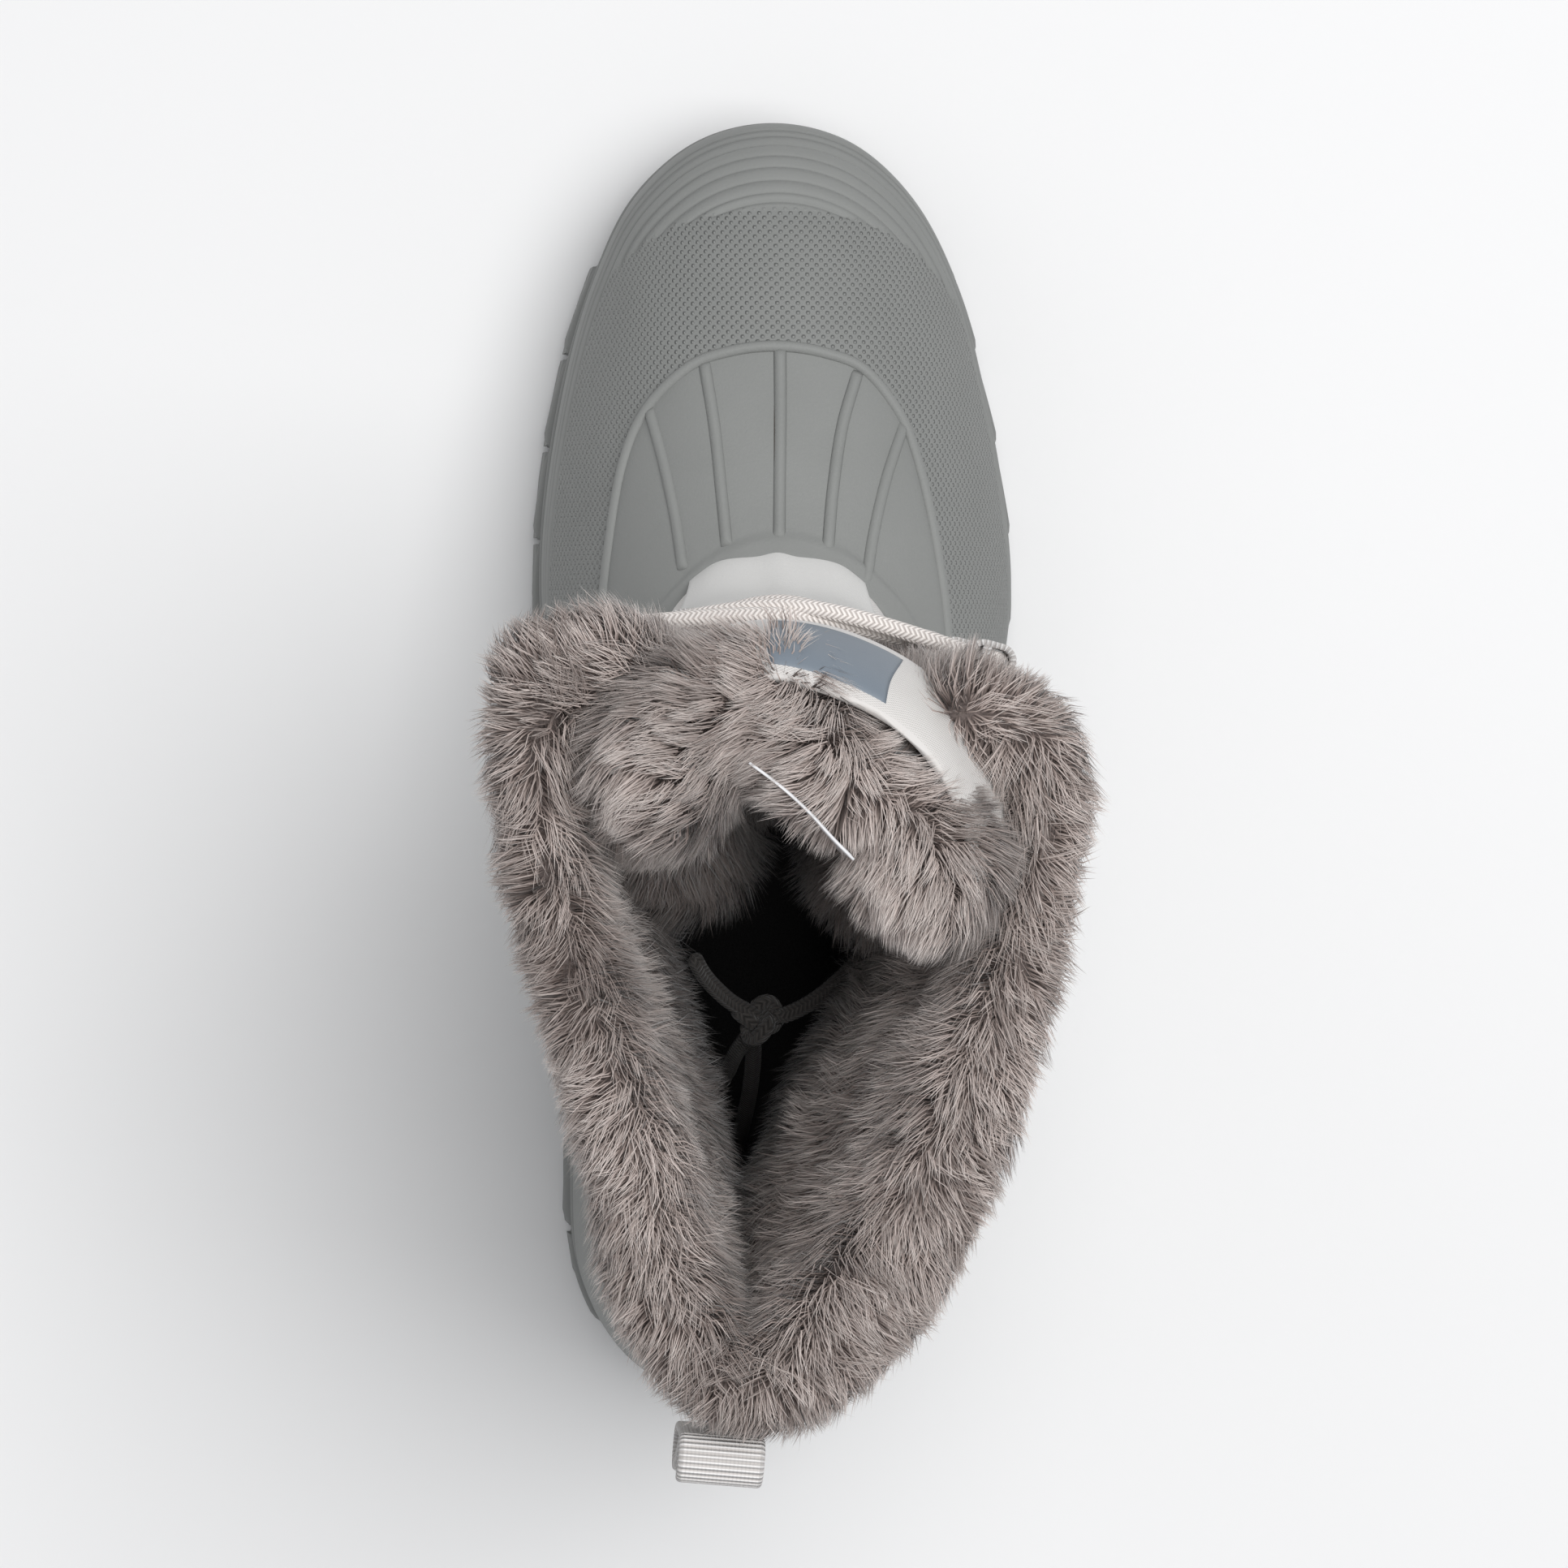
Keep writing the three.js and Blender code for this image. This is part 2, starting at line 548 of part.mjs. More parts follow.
for (const [side, turn] of [['inner', 5], ['outer', -15]]) {
  loopHoles(side).forEach((hole, i) => {
    const loop = solidOf(laceLoopGeometry(hole, turn)).subtract(shaftClearance);
    addPiece(`lace_loop_${side}_${i + 1}`, geometryOf(loop), COLOURS.lace);
  });
}
const crossings = cordSolid(strandPoints('inner')).add(cordSolid(strandPoints('outer')));
addPiece('lace_crossings', geometryOf(crossings), COLOURS.lace);
const ends = knotSolid().add(cordSolid(LONG_END)).add(cordSolid(SHORT_END));
addPiece('lace_ends', geometryOf(ends), COLOURS.lace);

export default boot;
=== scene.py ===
# %% [markdown]
# # A snow boot for the right foot
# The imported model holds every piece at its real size. This script keeps that frame and gives each piece
# its finished surface: moulded rubber, woven nylon, deep pile, braided lace and ribbed webbing.
# All sizes are in millimetres in the boot's own axes: +Y to the toe, +X to the outer side, +Z up.

# %% The frame
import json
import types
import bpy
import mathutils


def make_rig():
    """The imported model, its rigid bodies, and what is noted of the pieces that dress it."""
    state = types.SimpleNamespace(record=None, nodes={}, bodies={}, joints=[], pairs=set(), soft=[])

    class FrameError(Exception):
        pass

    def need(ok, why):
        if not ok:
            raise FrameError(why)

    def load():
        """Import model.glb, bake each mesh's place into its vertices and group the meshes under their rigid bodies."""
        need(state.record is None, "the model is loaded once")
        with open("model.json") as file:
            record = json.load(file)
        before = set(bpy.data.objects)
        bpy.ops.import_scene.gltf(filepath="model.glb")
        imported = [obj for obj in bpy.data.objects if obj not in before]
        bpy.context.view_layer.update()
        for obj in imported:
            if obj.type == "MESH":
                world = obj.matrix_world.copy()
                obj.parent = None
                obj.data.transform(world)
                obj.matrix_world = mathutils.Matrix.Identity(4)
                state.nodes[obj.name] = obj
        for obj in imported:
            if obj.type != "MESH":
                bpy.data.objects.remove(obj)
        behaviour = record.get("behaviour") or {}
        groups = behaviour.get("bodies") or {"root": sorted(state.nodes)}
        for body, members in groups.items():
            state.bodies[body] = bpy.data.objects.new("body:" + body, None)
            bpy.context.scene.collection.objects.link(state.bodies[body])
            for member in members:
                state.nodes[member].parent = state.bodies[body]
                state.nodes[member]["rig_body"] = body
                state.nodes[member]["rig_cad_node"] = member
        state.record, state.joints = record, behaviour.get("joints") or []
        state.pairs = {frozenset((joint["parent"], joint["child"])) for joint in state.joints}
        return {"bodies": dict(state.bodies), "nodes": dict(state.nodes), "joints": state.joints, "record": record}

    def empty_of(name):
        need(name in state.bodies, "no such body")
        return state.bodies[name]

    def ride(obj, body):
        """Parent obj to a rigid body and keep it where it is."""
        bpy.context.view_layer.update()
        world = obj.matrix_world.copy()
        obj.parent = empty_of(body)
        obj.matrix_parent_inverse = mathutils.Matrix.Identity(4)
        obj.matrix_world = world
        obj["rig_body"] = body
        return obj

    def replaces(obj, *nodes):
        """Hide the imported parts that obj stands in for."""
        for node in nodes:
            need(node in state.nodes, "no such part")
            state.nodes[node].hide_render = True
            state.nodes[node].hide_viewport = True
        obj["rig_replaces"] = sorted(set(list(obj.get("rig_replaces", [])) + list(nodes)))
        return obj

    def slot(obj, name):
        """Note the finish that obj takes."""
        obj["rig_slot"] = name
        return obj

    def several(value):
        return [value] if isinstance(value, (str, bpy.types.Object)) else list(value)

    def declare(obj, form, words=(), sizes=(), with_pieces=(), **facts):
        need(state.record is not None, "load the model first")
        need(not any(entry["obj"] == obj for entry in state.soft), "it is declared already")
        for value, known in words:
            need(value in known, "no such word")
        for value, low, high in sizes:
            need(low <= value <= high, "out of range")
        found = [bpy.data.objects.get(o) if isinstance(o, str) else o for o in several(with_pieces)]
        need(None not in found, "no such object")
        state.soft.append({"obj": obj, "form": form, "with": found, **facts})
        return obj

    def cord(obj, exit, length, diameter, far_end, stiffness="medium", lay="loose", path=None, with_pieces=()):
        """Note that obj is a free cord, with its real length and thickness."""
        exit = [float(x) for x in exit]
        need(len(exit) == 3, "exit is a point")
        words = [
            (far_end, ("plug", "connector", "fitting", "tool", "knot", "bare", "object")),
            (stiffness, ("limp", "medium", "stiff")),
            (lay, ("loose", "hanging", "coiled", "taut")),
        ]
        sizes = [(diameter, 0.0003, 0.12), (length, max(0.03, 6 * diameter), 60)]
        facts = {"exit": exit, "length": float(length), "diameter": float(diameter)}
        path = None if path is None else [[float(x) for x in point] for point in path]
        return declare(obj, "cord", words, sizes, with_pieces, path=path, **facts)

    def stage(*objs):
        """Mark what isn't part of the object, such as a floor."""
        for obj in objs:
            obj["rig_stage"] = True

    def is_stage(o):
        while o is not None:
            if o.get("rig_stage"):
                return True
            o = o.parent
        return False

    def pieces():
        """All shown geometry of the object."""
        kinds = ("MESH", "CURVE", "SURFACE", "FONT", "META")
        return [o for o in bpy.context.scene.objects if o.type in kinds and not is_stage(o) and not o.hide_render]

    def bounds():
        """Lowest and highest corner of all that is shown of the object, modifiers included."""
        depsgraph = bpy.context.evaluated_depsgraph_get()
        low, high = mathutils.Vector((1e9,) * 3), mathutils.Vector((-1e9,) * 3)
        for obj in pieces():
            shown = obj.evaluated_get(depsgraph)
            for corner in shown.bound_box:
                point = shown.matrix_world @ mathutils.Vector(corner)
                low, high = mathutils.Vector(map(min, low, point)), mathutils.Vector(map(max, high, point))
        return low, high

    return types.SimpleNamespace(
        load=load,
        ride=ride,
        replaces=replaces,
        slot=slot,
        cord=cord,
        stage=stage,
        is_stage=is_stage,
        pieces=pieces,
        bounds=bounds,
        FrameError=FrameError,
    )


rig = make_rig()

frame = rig.load()
cad_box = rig.bounds()

import json
import math

import bpy
import numpy as np
from mathutils import Matrix, Vector

MM = 0.001
print("nodes:", ", ".join(sorted(frame["nodes"])))

# %% [markdown]
# ## The camera
# The camera looks down from about one and a half metres, through a long lens, as in a shop's catalogue.
# It stands a little to the inner side, so the outer half of the collar shows its inside.

# %% Camera
CAMERA_PLACE = Vector((-71.4, 125.6, 1500.0)) * MM
CAMERA_AIM = Vector((4.0, 100.0, 100.0)) * MM
CAMERA_LENS = 150.0


def facing(place, target):
    """A matrix at place that looks at target, with the picture's upper edge towards the toe."""
    back = (place - target).normalized()
    right = Vector((0, 1, 0)).cross(back).normalized()
    matrix = Matrix((right, back.cross(right), back)).transposed().to_4x4()
    matrix.translation = place
    return matrix


camera = bpy.data.objects.new("camera", bpy.data.cameras.new("camera"))
camera.data.lens = CAMERA_LENS
camera.data.sensor_width = 36.0
camera.data.clip_end = 10.0
camera.matrix_world = facing(CAMERA_PLACE, CAMERA_AIM)
bpy.context.scene.collection.objects.link(camera)
bpy.context.scene.camera = camera
print("camera", tuple(round(c, 3) for c in camera.location), "lens", CAMERA_LENS)

# %% [markdown]
# ## Curves, grids and meshes
# Every new piece is a grid of points: a function of one place around and one place up. A smooth curve
# through a short table of sections gives the place around, and whole arrays go into the mesh at once.


# %% Smooth curves through a few points
def smooth_step(start, stop, value):
    """0 before start, 1 after stop, and a soft S between them."""
    t = np.clip((value - start) / (stop - start), 0, 1)
    return t * t * (3 - 2 * t)


def unit(vectors):
    """Vectors scaled to length one."""
    return vectors / np.maximum(np.linalg.norm(vectors, axis=-1, keepdims=True), 1e-9)


def glide(p0, p1, p2, p3, t):
    """A cubic from p1 to p2 whose tangents are half the chord between each end's neighbours."""
    start, stop = 0.5 * (p2 - p0), 0.5 * (p3 - p1)
    return p1 + t * (start + t * (3 * (p2 - p1) - 2 * start - stop + t * (2 * (p1 - p2) + start + stop)))


def around(points, u):
    """Places u on the closed curve through points, where u from 0 to 1 is once round."""
    count = len(points)
    place = np.mod(u, 1) * count
    i = np.floor(place).astype(int) % count
    t = (place - np.floor(place))[..., None]
    return glide(points[i - 1], points[i], points[(i + 1) % count], points[(i + 2) % count], t)


def between(rows, w):
    """Rows blended at places w from 0 to 1: row by row, along the curve through each column of rows."""
    last = len(rows) - 1
    longer = np.concatenate([2 * rows[:1] - rows[1:2], rows, 2 * rows[-1:] - rows[-2:-1]])
    place = np.clip(w, 0, 1) * last
    i = np.minimum(np.floor(place).astype(int), last - 1)
    t = (place - i).reshape((-1,) + (1,) * (rows.ndim - 1))
    return glide(longer[i], longer[i + 1], longer[i + 2], longer[i + 3], t)


def distance_along(points):
    """How far along its line each point is, from the first; lines side by side are each measured."""
    steps = np.linalg.norm(np.diff(points, axis=0), axis=-1)
    return np.concatenate([np.zeros_like(steps[:1]), np.cumsum(steps, axis=0)])


def even(points, spacing):
    """The same line with points an even spacing apart."""
    length = distance_along(points)
    places = np.linspace(0, length[-1], max(2, round(length[-1] / spacing) + 1))
    return np.stack([np.interp(places, length, points[:, k]) for k in range(points.shape[1])], -1)


def line_through(points, spacing):
    """An even line along the smooth open curve through a few points."""
    points = np.asarray(points, float)
    return even(between(points, np.linspace(0, 1, 24 * len(points))), spacing)


def waves(points, size, seed):
    """A smooth random field of about -1 to 1: the mean of six sine waves, each about size long."""
    random = np.random.default_rng(seed)
    directions = unit(random.normal(size=(6, 3)))
    phases = random.uniform(0, 2 * math.pi, 6)
    return 1.7 * np.sin(points @ directions.T * (2 * math.pi / size) + phases).mean(-1)


# %% Meshes from arrays
def grid_faces(rows, columns, ring=False):
    """Corner numbers of the squares between neighbouring rows of points; ring joins each row's two ends."""
    across = columns if ring else columns - 1
    r, c = np.meshgrid(np.arange(rows - 1), np.arange(across), indexing="ij")
    after = (c + 1) % columns
    corners = [r * columns + c, r * columns + after, (r + 1) * columns + after, (r + 1) * columns + c]
    return np.stack(corners, -1).reshape(-1, 4)


def add_mesh(name, points, faces, uv=None, attributes=None):
    """A smooth mesh object from points in millimetres and one array of corner numbers for each face size.
    uv is a pair: points of the map, and the map's corner numbers face by face."""
    mesh = bpy.data.meshes.new(name)
    corners = np.concatenate([f.ravel() for f in faces])
    sizes = np.concatenate([np.full(len(f), f.shape[1]) for f in faces])
    starts = np.concatenate([[0], np.cumsum(sizes)[:-1]])
    mesh.vertices.add(len(points))
    mesh.vertices.foreach_set("co", np.ascontiguousarray(points * MM, dtype=np.float32).ravel())
    mesh.loops.add(len(corners))
    mesh.loops.foreach_set("vertex_index", corners.astype(np.int32))
    mesh.polygons.add(len(sizes))
    mesh.polygons.foreach_set("loop_start", starts.astype(np.int32))
    mesh.polygons.foreach_set("use_smooth", np.ones(len(sizes), dtype=bool))
    mesh.update(calc_edges=True)
    if uv is not None:
        layer = mesh.uv_layers.new(name="map")
        flat = uv[0].reshape(-1, 2)[np.concatenate([f.ravel() for f in uv[1]])]
        layer.uv.foreach_set("vector", np.ascontiguousarray(flat, dtype=np.float32).ravel())
    for key, values in (attributes or {}).items():
        layer = mesh.attributes.new(key, "FLOAT", "POINT")
        layer.data.foreach_set("value", np.ascontiguousarray(values, dtype=np.float32).ravel())
    obj = bpy.data.objects.new(name, mesh)
    bpy.context.scene.collection.objects.link(obj)
    return obj


def volume_of(points, faces):
    """Six times the volume inside square faces, negative where they point inwards."""
    a, b, c, d = (points[faces[:, k]] for k in range(4))
    return np.sum(a * np.cross(b, c)) + np.sum(a * np.cross(c, d))


def add_loops(name, rings, uv=None, attributes=None, closed=False):
    """A closed skin from a stack of closed rings: its ends are capped, or its last ring joins the first."""
    levels, count = rings.shape[:2]
    points = rings.reshape(-1, 3)
    stack = np.concatenate([rings, rings[:1]]) if closed else rings
    faces = grid_faces(len(stack), count, ring=True) % len(points)
    map_faces = grid_faces(len(stack), count + 1)
    if volume_of(points, faces) < 0:
        faces, map_faces = faces[:, ::-1], map_faces[:, ::-1]
        caps = [np.arange(count), (levels - 1) * count + np.arange(count)[::-1]]
    else:
        caps = [np.arange(count)[::-1], (levels - 1) * count + np.arange(count)]
    every = [faces] if closed else [faces, caps[0][None], caps[1][None]]
    if uv is None:
        return add_mesh(name, points, every, None, attributes)
    flat_caps = [] if closed else [np.zeros((1, count), int), np.zeros((1, count), int)]
    return add_mesh(name, points, every, (uv, [map_faces] + flat_caps), attributes)


def finish_piece(piece, material, slot, *nodes):
    """Gives a new piece its material, its body, its slot in the record and the nodes that it stands for."""
    piece.data.materials.append(material)
    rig.ride(piece, "root")
    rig.slot(piece, slot)
    if nodes:
        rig.replaces(piece, *nodes)
    print(piece.name, len(piece.data.polygons), "faces")
    return piece


# %% [markdown]
# ## Materials
# Each finish is a small tree of nodes. Patterns that follow a surface, such as weave and braid, read the
# piece's own map, which holds millimetres. Cloudiness and grain read the place in the boot.


# %% Material helpers
def new_material(name, roughness, sheen=0.0, specular=0.5):
    """A material with its shader; what is the same all over is set on the shader itself."""
    material = bpy.data.materials.new(name)
    material.use_nodes = True
    shader = material.node_tree.nodes["Principled BSDF"]
    shader.inputs["Roughness"].default_value = roughness
    shader.inputs["Sheen Weight"].default_value = sheen
    shader.inputs["Specular IOR Level"].default_value = specular
    return material, shader


def add_node(material, kind, inputs=None, **settings):
    """A node with its settings and inputs; an input is a value or another node's output."""
    node = material.node_tree.nodes.new(kind)
    for key, value in settings.items():
        setattr(node, key, value)
    for key, value in (inputs or {}).items():
        if isinstance(value, bpy.types.NodeSocket):
            material.node_tree.links.new(value, node.inputs[key])
        else:
            node.inputs[key].default_value = value
    return node


def calculate(material, operation, first, second=0.0, third=0.0):
    """One step of arithmetic on sockets or numbers."""
    node = add_node(material, "ShaderNodeMath", {0: first, 1: second, 2: third}, operation=operation)
    return node.outputs[0]


def join(material, output, shader, name):
    material.node_tree.links.new(output, shader.inputs[name])


def noise(material, scale, detail=3.0):
    """Cloudy noise over the boot; scale is in cycles for each metre."""
    place = add_node(material, "ShaderNodeTexCoord").outputs["Object"]
    return add_node(
        material, "ShaderNodeTexNoise", {"Vector": place, "Scale": scale, "Detail": detail}
    ).outputs["Fac"]


def mix_colours(material, factor, first, second):
    """A colour between two others."""
    node = add_node(material, "ShaderNodeMix", {0: factor}, data_type="RGBA")
    for socket, value in ((node.inputs[6], first), (node.inputs[7], second)):
        if isinstance(value, bpy.types.NodeSocket):
            material.node_tree.links.new(value, socket)
        else:
            socket.default_value = (*value, 1.0)
    return node.outputs[2]


def bump(material, shader, height, distance):
    """Fine relief under the light; distance is how high a height of 1 stands, in metres."""
    node = add_node(material, "ShaderNodeBump", {"Height": height, "Distance": distance, "Strength": 1.0})
    join(material, node.outputs["Normal"], shader, "Normal")


def map_waves(material, pitch_x, pitch_y, turn):
    """Two sets of sine waves over the piece's map, turned by an angle in degrees."""
    place = add_node(material, "ShaderNodeTexCoord").outputs["UV"]
    turned = add_node(
        material,
        "ShaderNodeMapping",
        {"Vector": place, "Rotation": (0, 0, math.radians(turn))},
    ).outputs["Vector"]
    split = add_node(material, "ShaderNodeSeparateXYZ", {"Vector": turned}).outputs
    first = calculate(material, "SINE", calculate(material, "MULTIPLY", split[0], 2 * math.pi / pitch_x))
    second = calculate(material, "SINE", calculate(material, "MULTIPLY", split[1], 2 * math.pi / pitch_y))
    return first, second


# %% Rubber
STUD_PITCH = 2.35


def make_rubber(name, light, dark, knurled):
    """Matte moulded rubber; where the knurl attribute is 1, small round studs stand on it.
    The hollows between them get painted shade, and their tips a painted highlight.
    """
    material, shader = new_material(name, 0.62, specular=0.35)
    clouds = noise(material, 55.0, 4.0)
    grain = noise(material, 1600.0, 2.0)
    colour = mix_colours(material, clouds, dark, light)
    height = calculate(material, "MULTIPLY", grain, 0.12)
    if knurled:
        first, second = map_waves(material, STUD_PITCH, STUD_PITCH, 0)
        studs = calculate(material, "MULTIPLY", first, second)
        studs = calculate(material, "MULTIPLY_ADD", studs, 1.25, -0.25)
        studs = calculate(material, "SMOOTH_MAX", studs, 0.0, 0.2)
        knurl = add_node(material, "ShaderNodeAttribute", attribute_name="knurl").outputs["Fac"]
        studs = calculate(material, "MULTIPLY", studs, knurl)
        # Painted shade in the hollows between the studs, and a painted highlight on their tips.
        hollow = calculate(material, "SUBTRACT", knurl, studs)
        shade = calculate(material, "MULTIPLY", hollow, 0.1)
        colour = mix_colours(material, shade, colour, tuple(0.6 * c for c in dark))
        stud_highlight = calculate(material, "MULTIPLY", studs, 0.5)
        colour = mix_colours(material, stud_highlight, colour, tuple(1.35 * c for c in light))
        height = calculate(material, "ADD", height, studs)
    join(material, colour, shader, "Base Color")
    bump(material, shader, height, 0.0006)
    return material


SHELL_RUBBER = make_rubber("shell_rubber", (0.258, 0.264, 0.256), (0.226, 0.232, 0.224), True)
TREAD_RUBBER = make_rubber("tread_rubber", (0.245, 0.25, 0.243), (0.21, 0.215, 0.208), False)


# %% Cloth, felt and webbing
def make_weave(name, light, dark, pitch, relief, roughness, sheen, turn=0.0):
    """Plain weave: threads cross over and under each other at a pitch in millimetres."""
    material, shader = new_material(name, roughness, sheen, 0.3)
    first, second = map_waves(material, pitch, pitch, turn)
    weave = calculate(material, "MULTIPLY_ADD", calculate(material, "MULTIPLY", first, second), 0.5, 0.5)
    clouds = noise(material, 40.0, 4.0)
    colour = mix_colours(material, weave, dark, light)
    colour = mix_colours(material, calculate(material, "MULTIPLY", clouds, 0.25), colour, dark)
    join(material, colour, shader, "Base Color")
    bump(material, shader, weave, relief)
    return material


def make_grain(name, light, dark, scale, relief, roughness, sheen=0.0):
    """A grained or felted surface: cloudy colour and fine uneven relief."""
    material, shader = new_material(name, roughness, sheen, 0.35)
    clouds = noise(material, 60.0, 5.0)
    grain = noise(material, scale, 4.0)
    join(material, mix_colours(material, clouds, dark, light), shader, "Base Color")
    bump(material, shader, grain, relief)
    return material


NYLON = make_weave("nylon", (0.78, 0.76, 0.74), (0.58, 0.56, 0.54), 1.1, 0.00012, 0.75, 0.2)
COATED = make_grain("coated_cloth", (0.70, 0.695, 0.68), (0.64, 0.635, 0.62), 2200.0, 0.00008, 0.5)
# Painted shade: the insole's felt is near black, standing in for the shade deep in the boot.
FELT_PAINTED_SHADE = make_grain("felt", (0.03, 0.03, 0.03), (0.018, 0.018, 0.018), 1500.0, 0.0006, 0.95, 0.1)
LABEL = make_weave("blank_label", (0.86, 0.86, 0.87), (0.76, 0.76, 0.78), 0.5, 0.00003, 0.6, 0.0)
PATCH = make_grain("blank_patch", (0.20, 0.235, 0.275), (0.17, 0.2, 0.235), 3000.0, 0.00004, 0.45)
THREAD = make_grain("thread", (0.66, 0.63, 0.6), (0.5, 0.47, 0.44), 5000.0, 0.0002, 0.7)
# A dark brown for the mould line's bead.
DARK_SEAM = make_grain("seam_dirt", (0.10, 0.085, 0.07), (0.05, 0.045, 0.04), 4000.0, 0.0001, 0.8)
PLASTIC = make_grain("clear_plastic", (0.75, 0.73, 0.70), (0.68, 0.66, 0.63), 500.0, 0.00002, 0.25)


def make_braid(name, light, dark):
    """Round braid: slanting strands meet in rows of chevrons, four rows to a turn.
    The map holds turns around in x and lengths of one diameter in y."""
    material, shader = new_material(name, 0.7, 0.2, 0.3)
    place = add_node(material, "ShaderNodeTexCoord").outputs["UV"]
    split = add_node(material, "ShaderNodeSeparateXYZ", {"Vector": place}).outputs
    slant = calculate(material, "PINGPONG", calculate(material, "MULTIPLY", split[0], 4.0), 0.5)
    climb = calculate(material, "MULTIPLY_ADD", split[1], 3.2, calculate(material, "MULTIPLY", slant, 1.9))
    strand = calculate(material, "SINE", calculate(material, "MULTIPLY", climb, 2 * math.pi))
    strand = calculate(material, "MULTIPLY_ADD", strand, 0.5, 0.5)
    valley = calculate(material, "ABSOLUTE", calculate(material, "SUBTRACT", slant, 0.25))
    strand = calculate(material, "MULTIPLY", strand, calculate(material, "SUBTRACT", 1.15, valley))
    height = calculate(material, "POWER", strand, 0.5)
    join(material, mix_colours(material, height, dark, light), shader, "Base Color")
    bump(material, shader, height, 0.0003)
    return material


def make_webbing():
    """Grosgrain webbing: close ribs across its length, and fine threads along it."""
    material, shader = new_material("webbing", 0.6, 0.3, 0.3)
    across, along = map_waves(material, 0.55, 0.95, 0)
    ribs = calculate(material, "MULTIPLY_ADD", along, 0.5, 0.5)
    threads = calculate(material, "MULTIPLY_ADD", across, 0.1, 0.0)
    height = calculate(material, "ADD", ribs, threads)
    colour = mix_colours(material, ribs, (0.62, 0.585, 0.56), (0.96, 0.94, 0.925))
    join(material, colour, shader, "Base Color")
    bump(material, shader, height, 0.0005)
    return material


LACE = make_braid("lace_braid", (0.93, 0.88, 0.84), (0.68, 0.61, 0.57))
# Painted shade: the lace's own braid, darkened, for the knot and the ends deep in the shaft.
LACE_PAINTED_SHADE = make_braid("lace_worn", (0.06, 0.054, 0.05), (0.02, 0.018, 0.017))
WEBBING = make_webbing()


# %% Pile
# Painted shade: deep in the boot the pile and its backing are darkened towards this colour, between these heights in
# metres.
PAINTED_SHADE_COLOUR = (0.012, 0.011, 0.011)
SHADE_DARKEST_BELOW, SHADE_FADES_ABOVE = 0.12, 0.225


def painted_shade_deep_down(material, unshaded_colour):
    """A colour that darkens from a height in metres down to a lower one: painted shade deep inside the boot."""
    place = add_node(material, "ShaderNodeTexCoord").outputs["Object"]
    z = add_node(material, "ShaderNodeSeparateXYZ", {"Vector": place}).outputs["Z"]
    heights = {"Value": z, "From Min": SHADE_DARKEST_BELOW, "From Max": SHADE_FADES_ABOVE}
    share = add_node(material, "ShaderNodeMapRange", heights, interpolation_type="SMOOTHSTEP")
    return mix_colours(material, share.outputs["Result"], PAINTED_SHADE_COLOUR, unshaded_colour)


def make_pile():
    """Faux fur: each hair is dark at its root and pale at its tip, and no two are quite alike.
    Deep in the boot the pile is darkened: painted shade."""
    material, shader = new_material("pile", 0.6, 0.3, 0.3)
    along = add_node(material, "ShaderNodeAttribute", attribute_name="along").outputs["Fac"]
    tone = add_node(material, "ShaderNodeAttribute", attribute_name="tone").outputs["Fac"]
    ramp = add_node(material, "ShaderNodeValToRGB", {"Fac": along})
    stops = ramp.color_ramp.elements
    stops[0].color = (0.13, 0.098, 0.088, 1)
    stops[1].color = (0.87, 0.81, 0.77, 1)
    for place, colour in ((0.4, (0.34, 0.273, 0.247, 1)), (0.75, (0.62, 0.54, 0.503, 1))):
        stops.new(place).color = colour
    # Low tone goes towards dark brown: partly random tone, partly painted shade from grow_pile.
    dim = mix_colours(material, 0.72, ramp.outputs["Color"], (0.088, 0.062, 0.053))
    colour = mix_colours(material, tone, dim, ramp.outputs["Color"])
    # The pile's colour is darkened deep down as painted shade.
    join(material, painted_shade_deep_down(material, colour), shader, "Base Color")
    return material


def make_backing():
    """The knitted ground that the pile stands in."""
    material, shader = new_material("pile_backing", 1.0, 0.2, 0.2)
    clouds = mix_colours(material, noise(material, 60.0, 5.0), (0.12, 0.096, 0.088), (0.21, 0.172, 0.16))
    # The backing's colour is darkened deep down as painted shade.
    join(material, painted_shade_deep_down(material, clouds), shader, "Base Color")
    bump(material, shader, noise(material, 900.0, 4.0), 0.001)
    return material


PILE = make_pile()
BACKING = make_backing()
print("materials:", len(bpy.data.materials))

# %% [markdown]
# ## The lace
# Its crossings lie over the tongue between webbing loops. Its two ends go back into the shaft behind the
# tongue, meet in a knot and hang down inside. They are free cords, so their routes are settled first.
# A cord is a round section carried along its route; the braid is a pattern on its map.


# %% Tubes
def tube_rings(route, reference, radii, sides):
    """Rings of a round section along a route; the section's first point turns towards reference."""
    along = unit(np.gradient(route, axis=0))
    side = unit(np.cross(along, reference))
    up = np.cross(side, along)
    angle = np.linspace(0, 2 * math.pi, sides, endpoint=False)[:, None]
    spokes = np.cos(angle) * side[:, None] + np.sin(angle) * up[:, None]
    return route[:, None] + spokes * np.broadcast_to(radii, len(route))[:, None, None]


def add_tube(name, route, reference, radius, sides=12, closed=False):
    """A tube along a route, with round ends unless it is closed on itself."""
    radii = np.full(len(route), float(radius))
    if not closed:
        length = distance_along(route)
        to_end = np.minimum(length, length[-1] - length)
        radii *= np.sqrt(np.clip(1 - (1 - np.clip(to_end / radius, 0, 1)) ** 2, 0.02, 1))
    rings = tube_rings(route, reference, radii, sides)
    step = np.linalg.norm(np.diff(route, axis=0), axis=1).mean()
    turns = np.linspace(0, 1, sides + 1)
    lengths = np.arange(len(route) + closed) * step / (2 * radius)
    uv = np.stack(np.meshgrid(turns, lengths), -1)
    return add_loops(name, rings, uv, closed=closed)


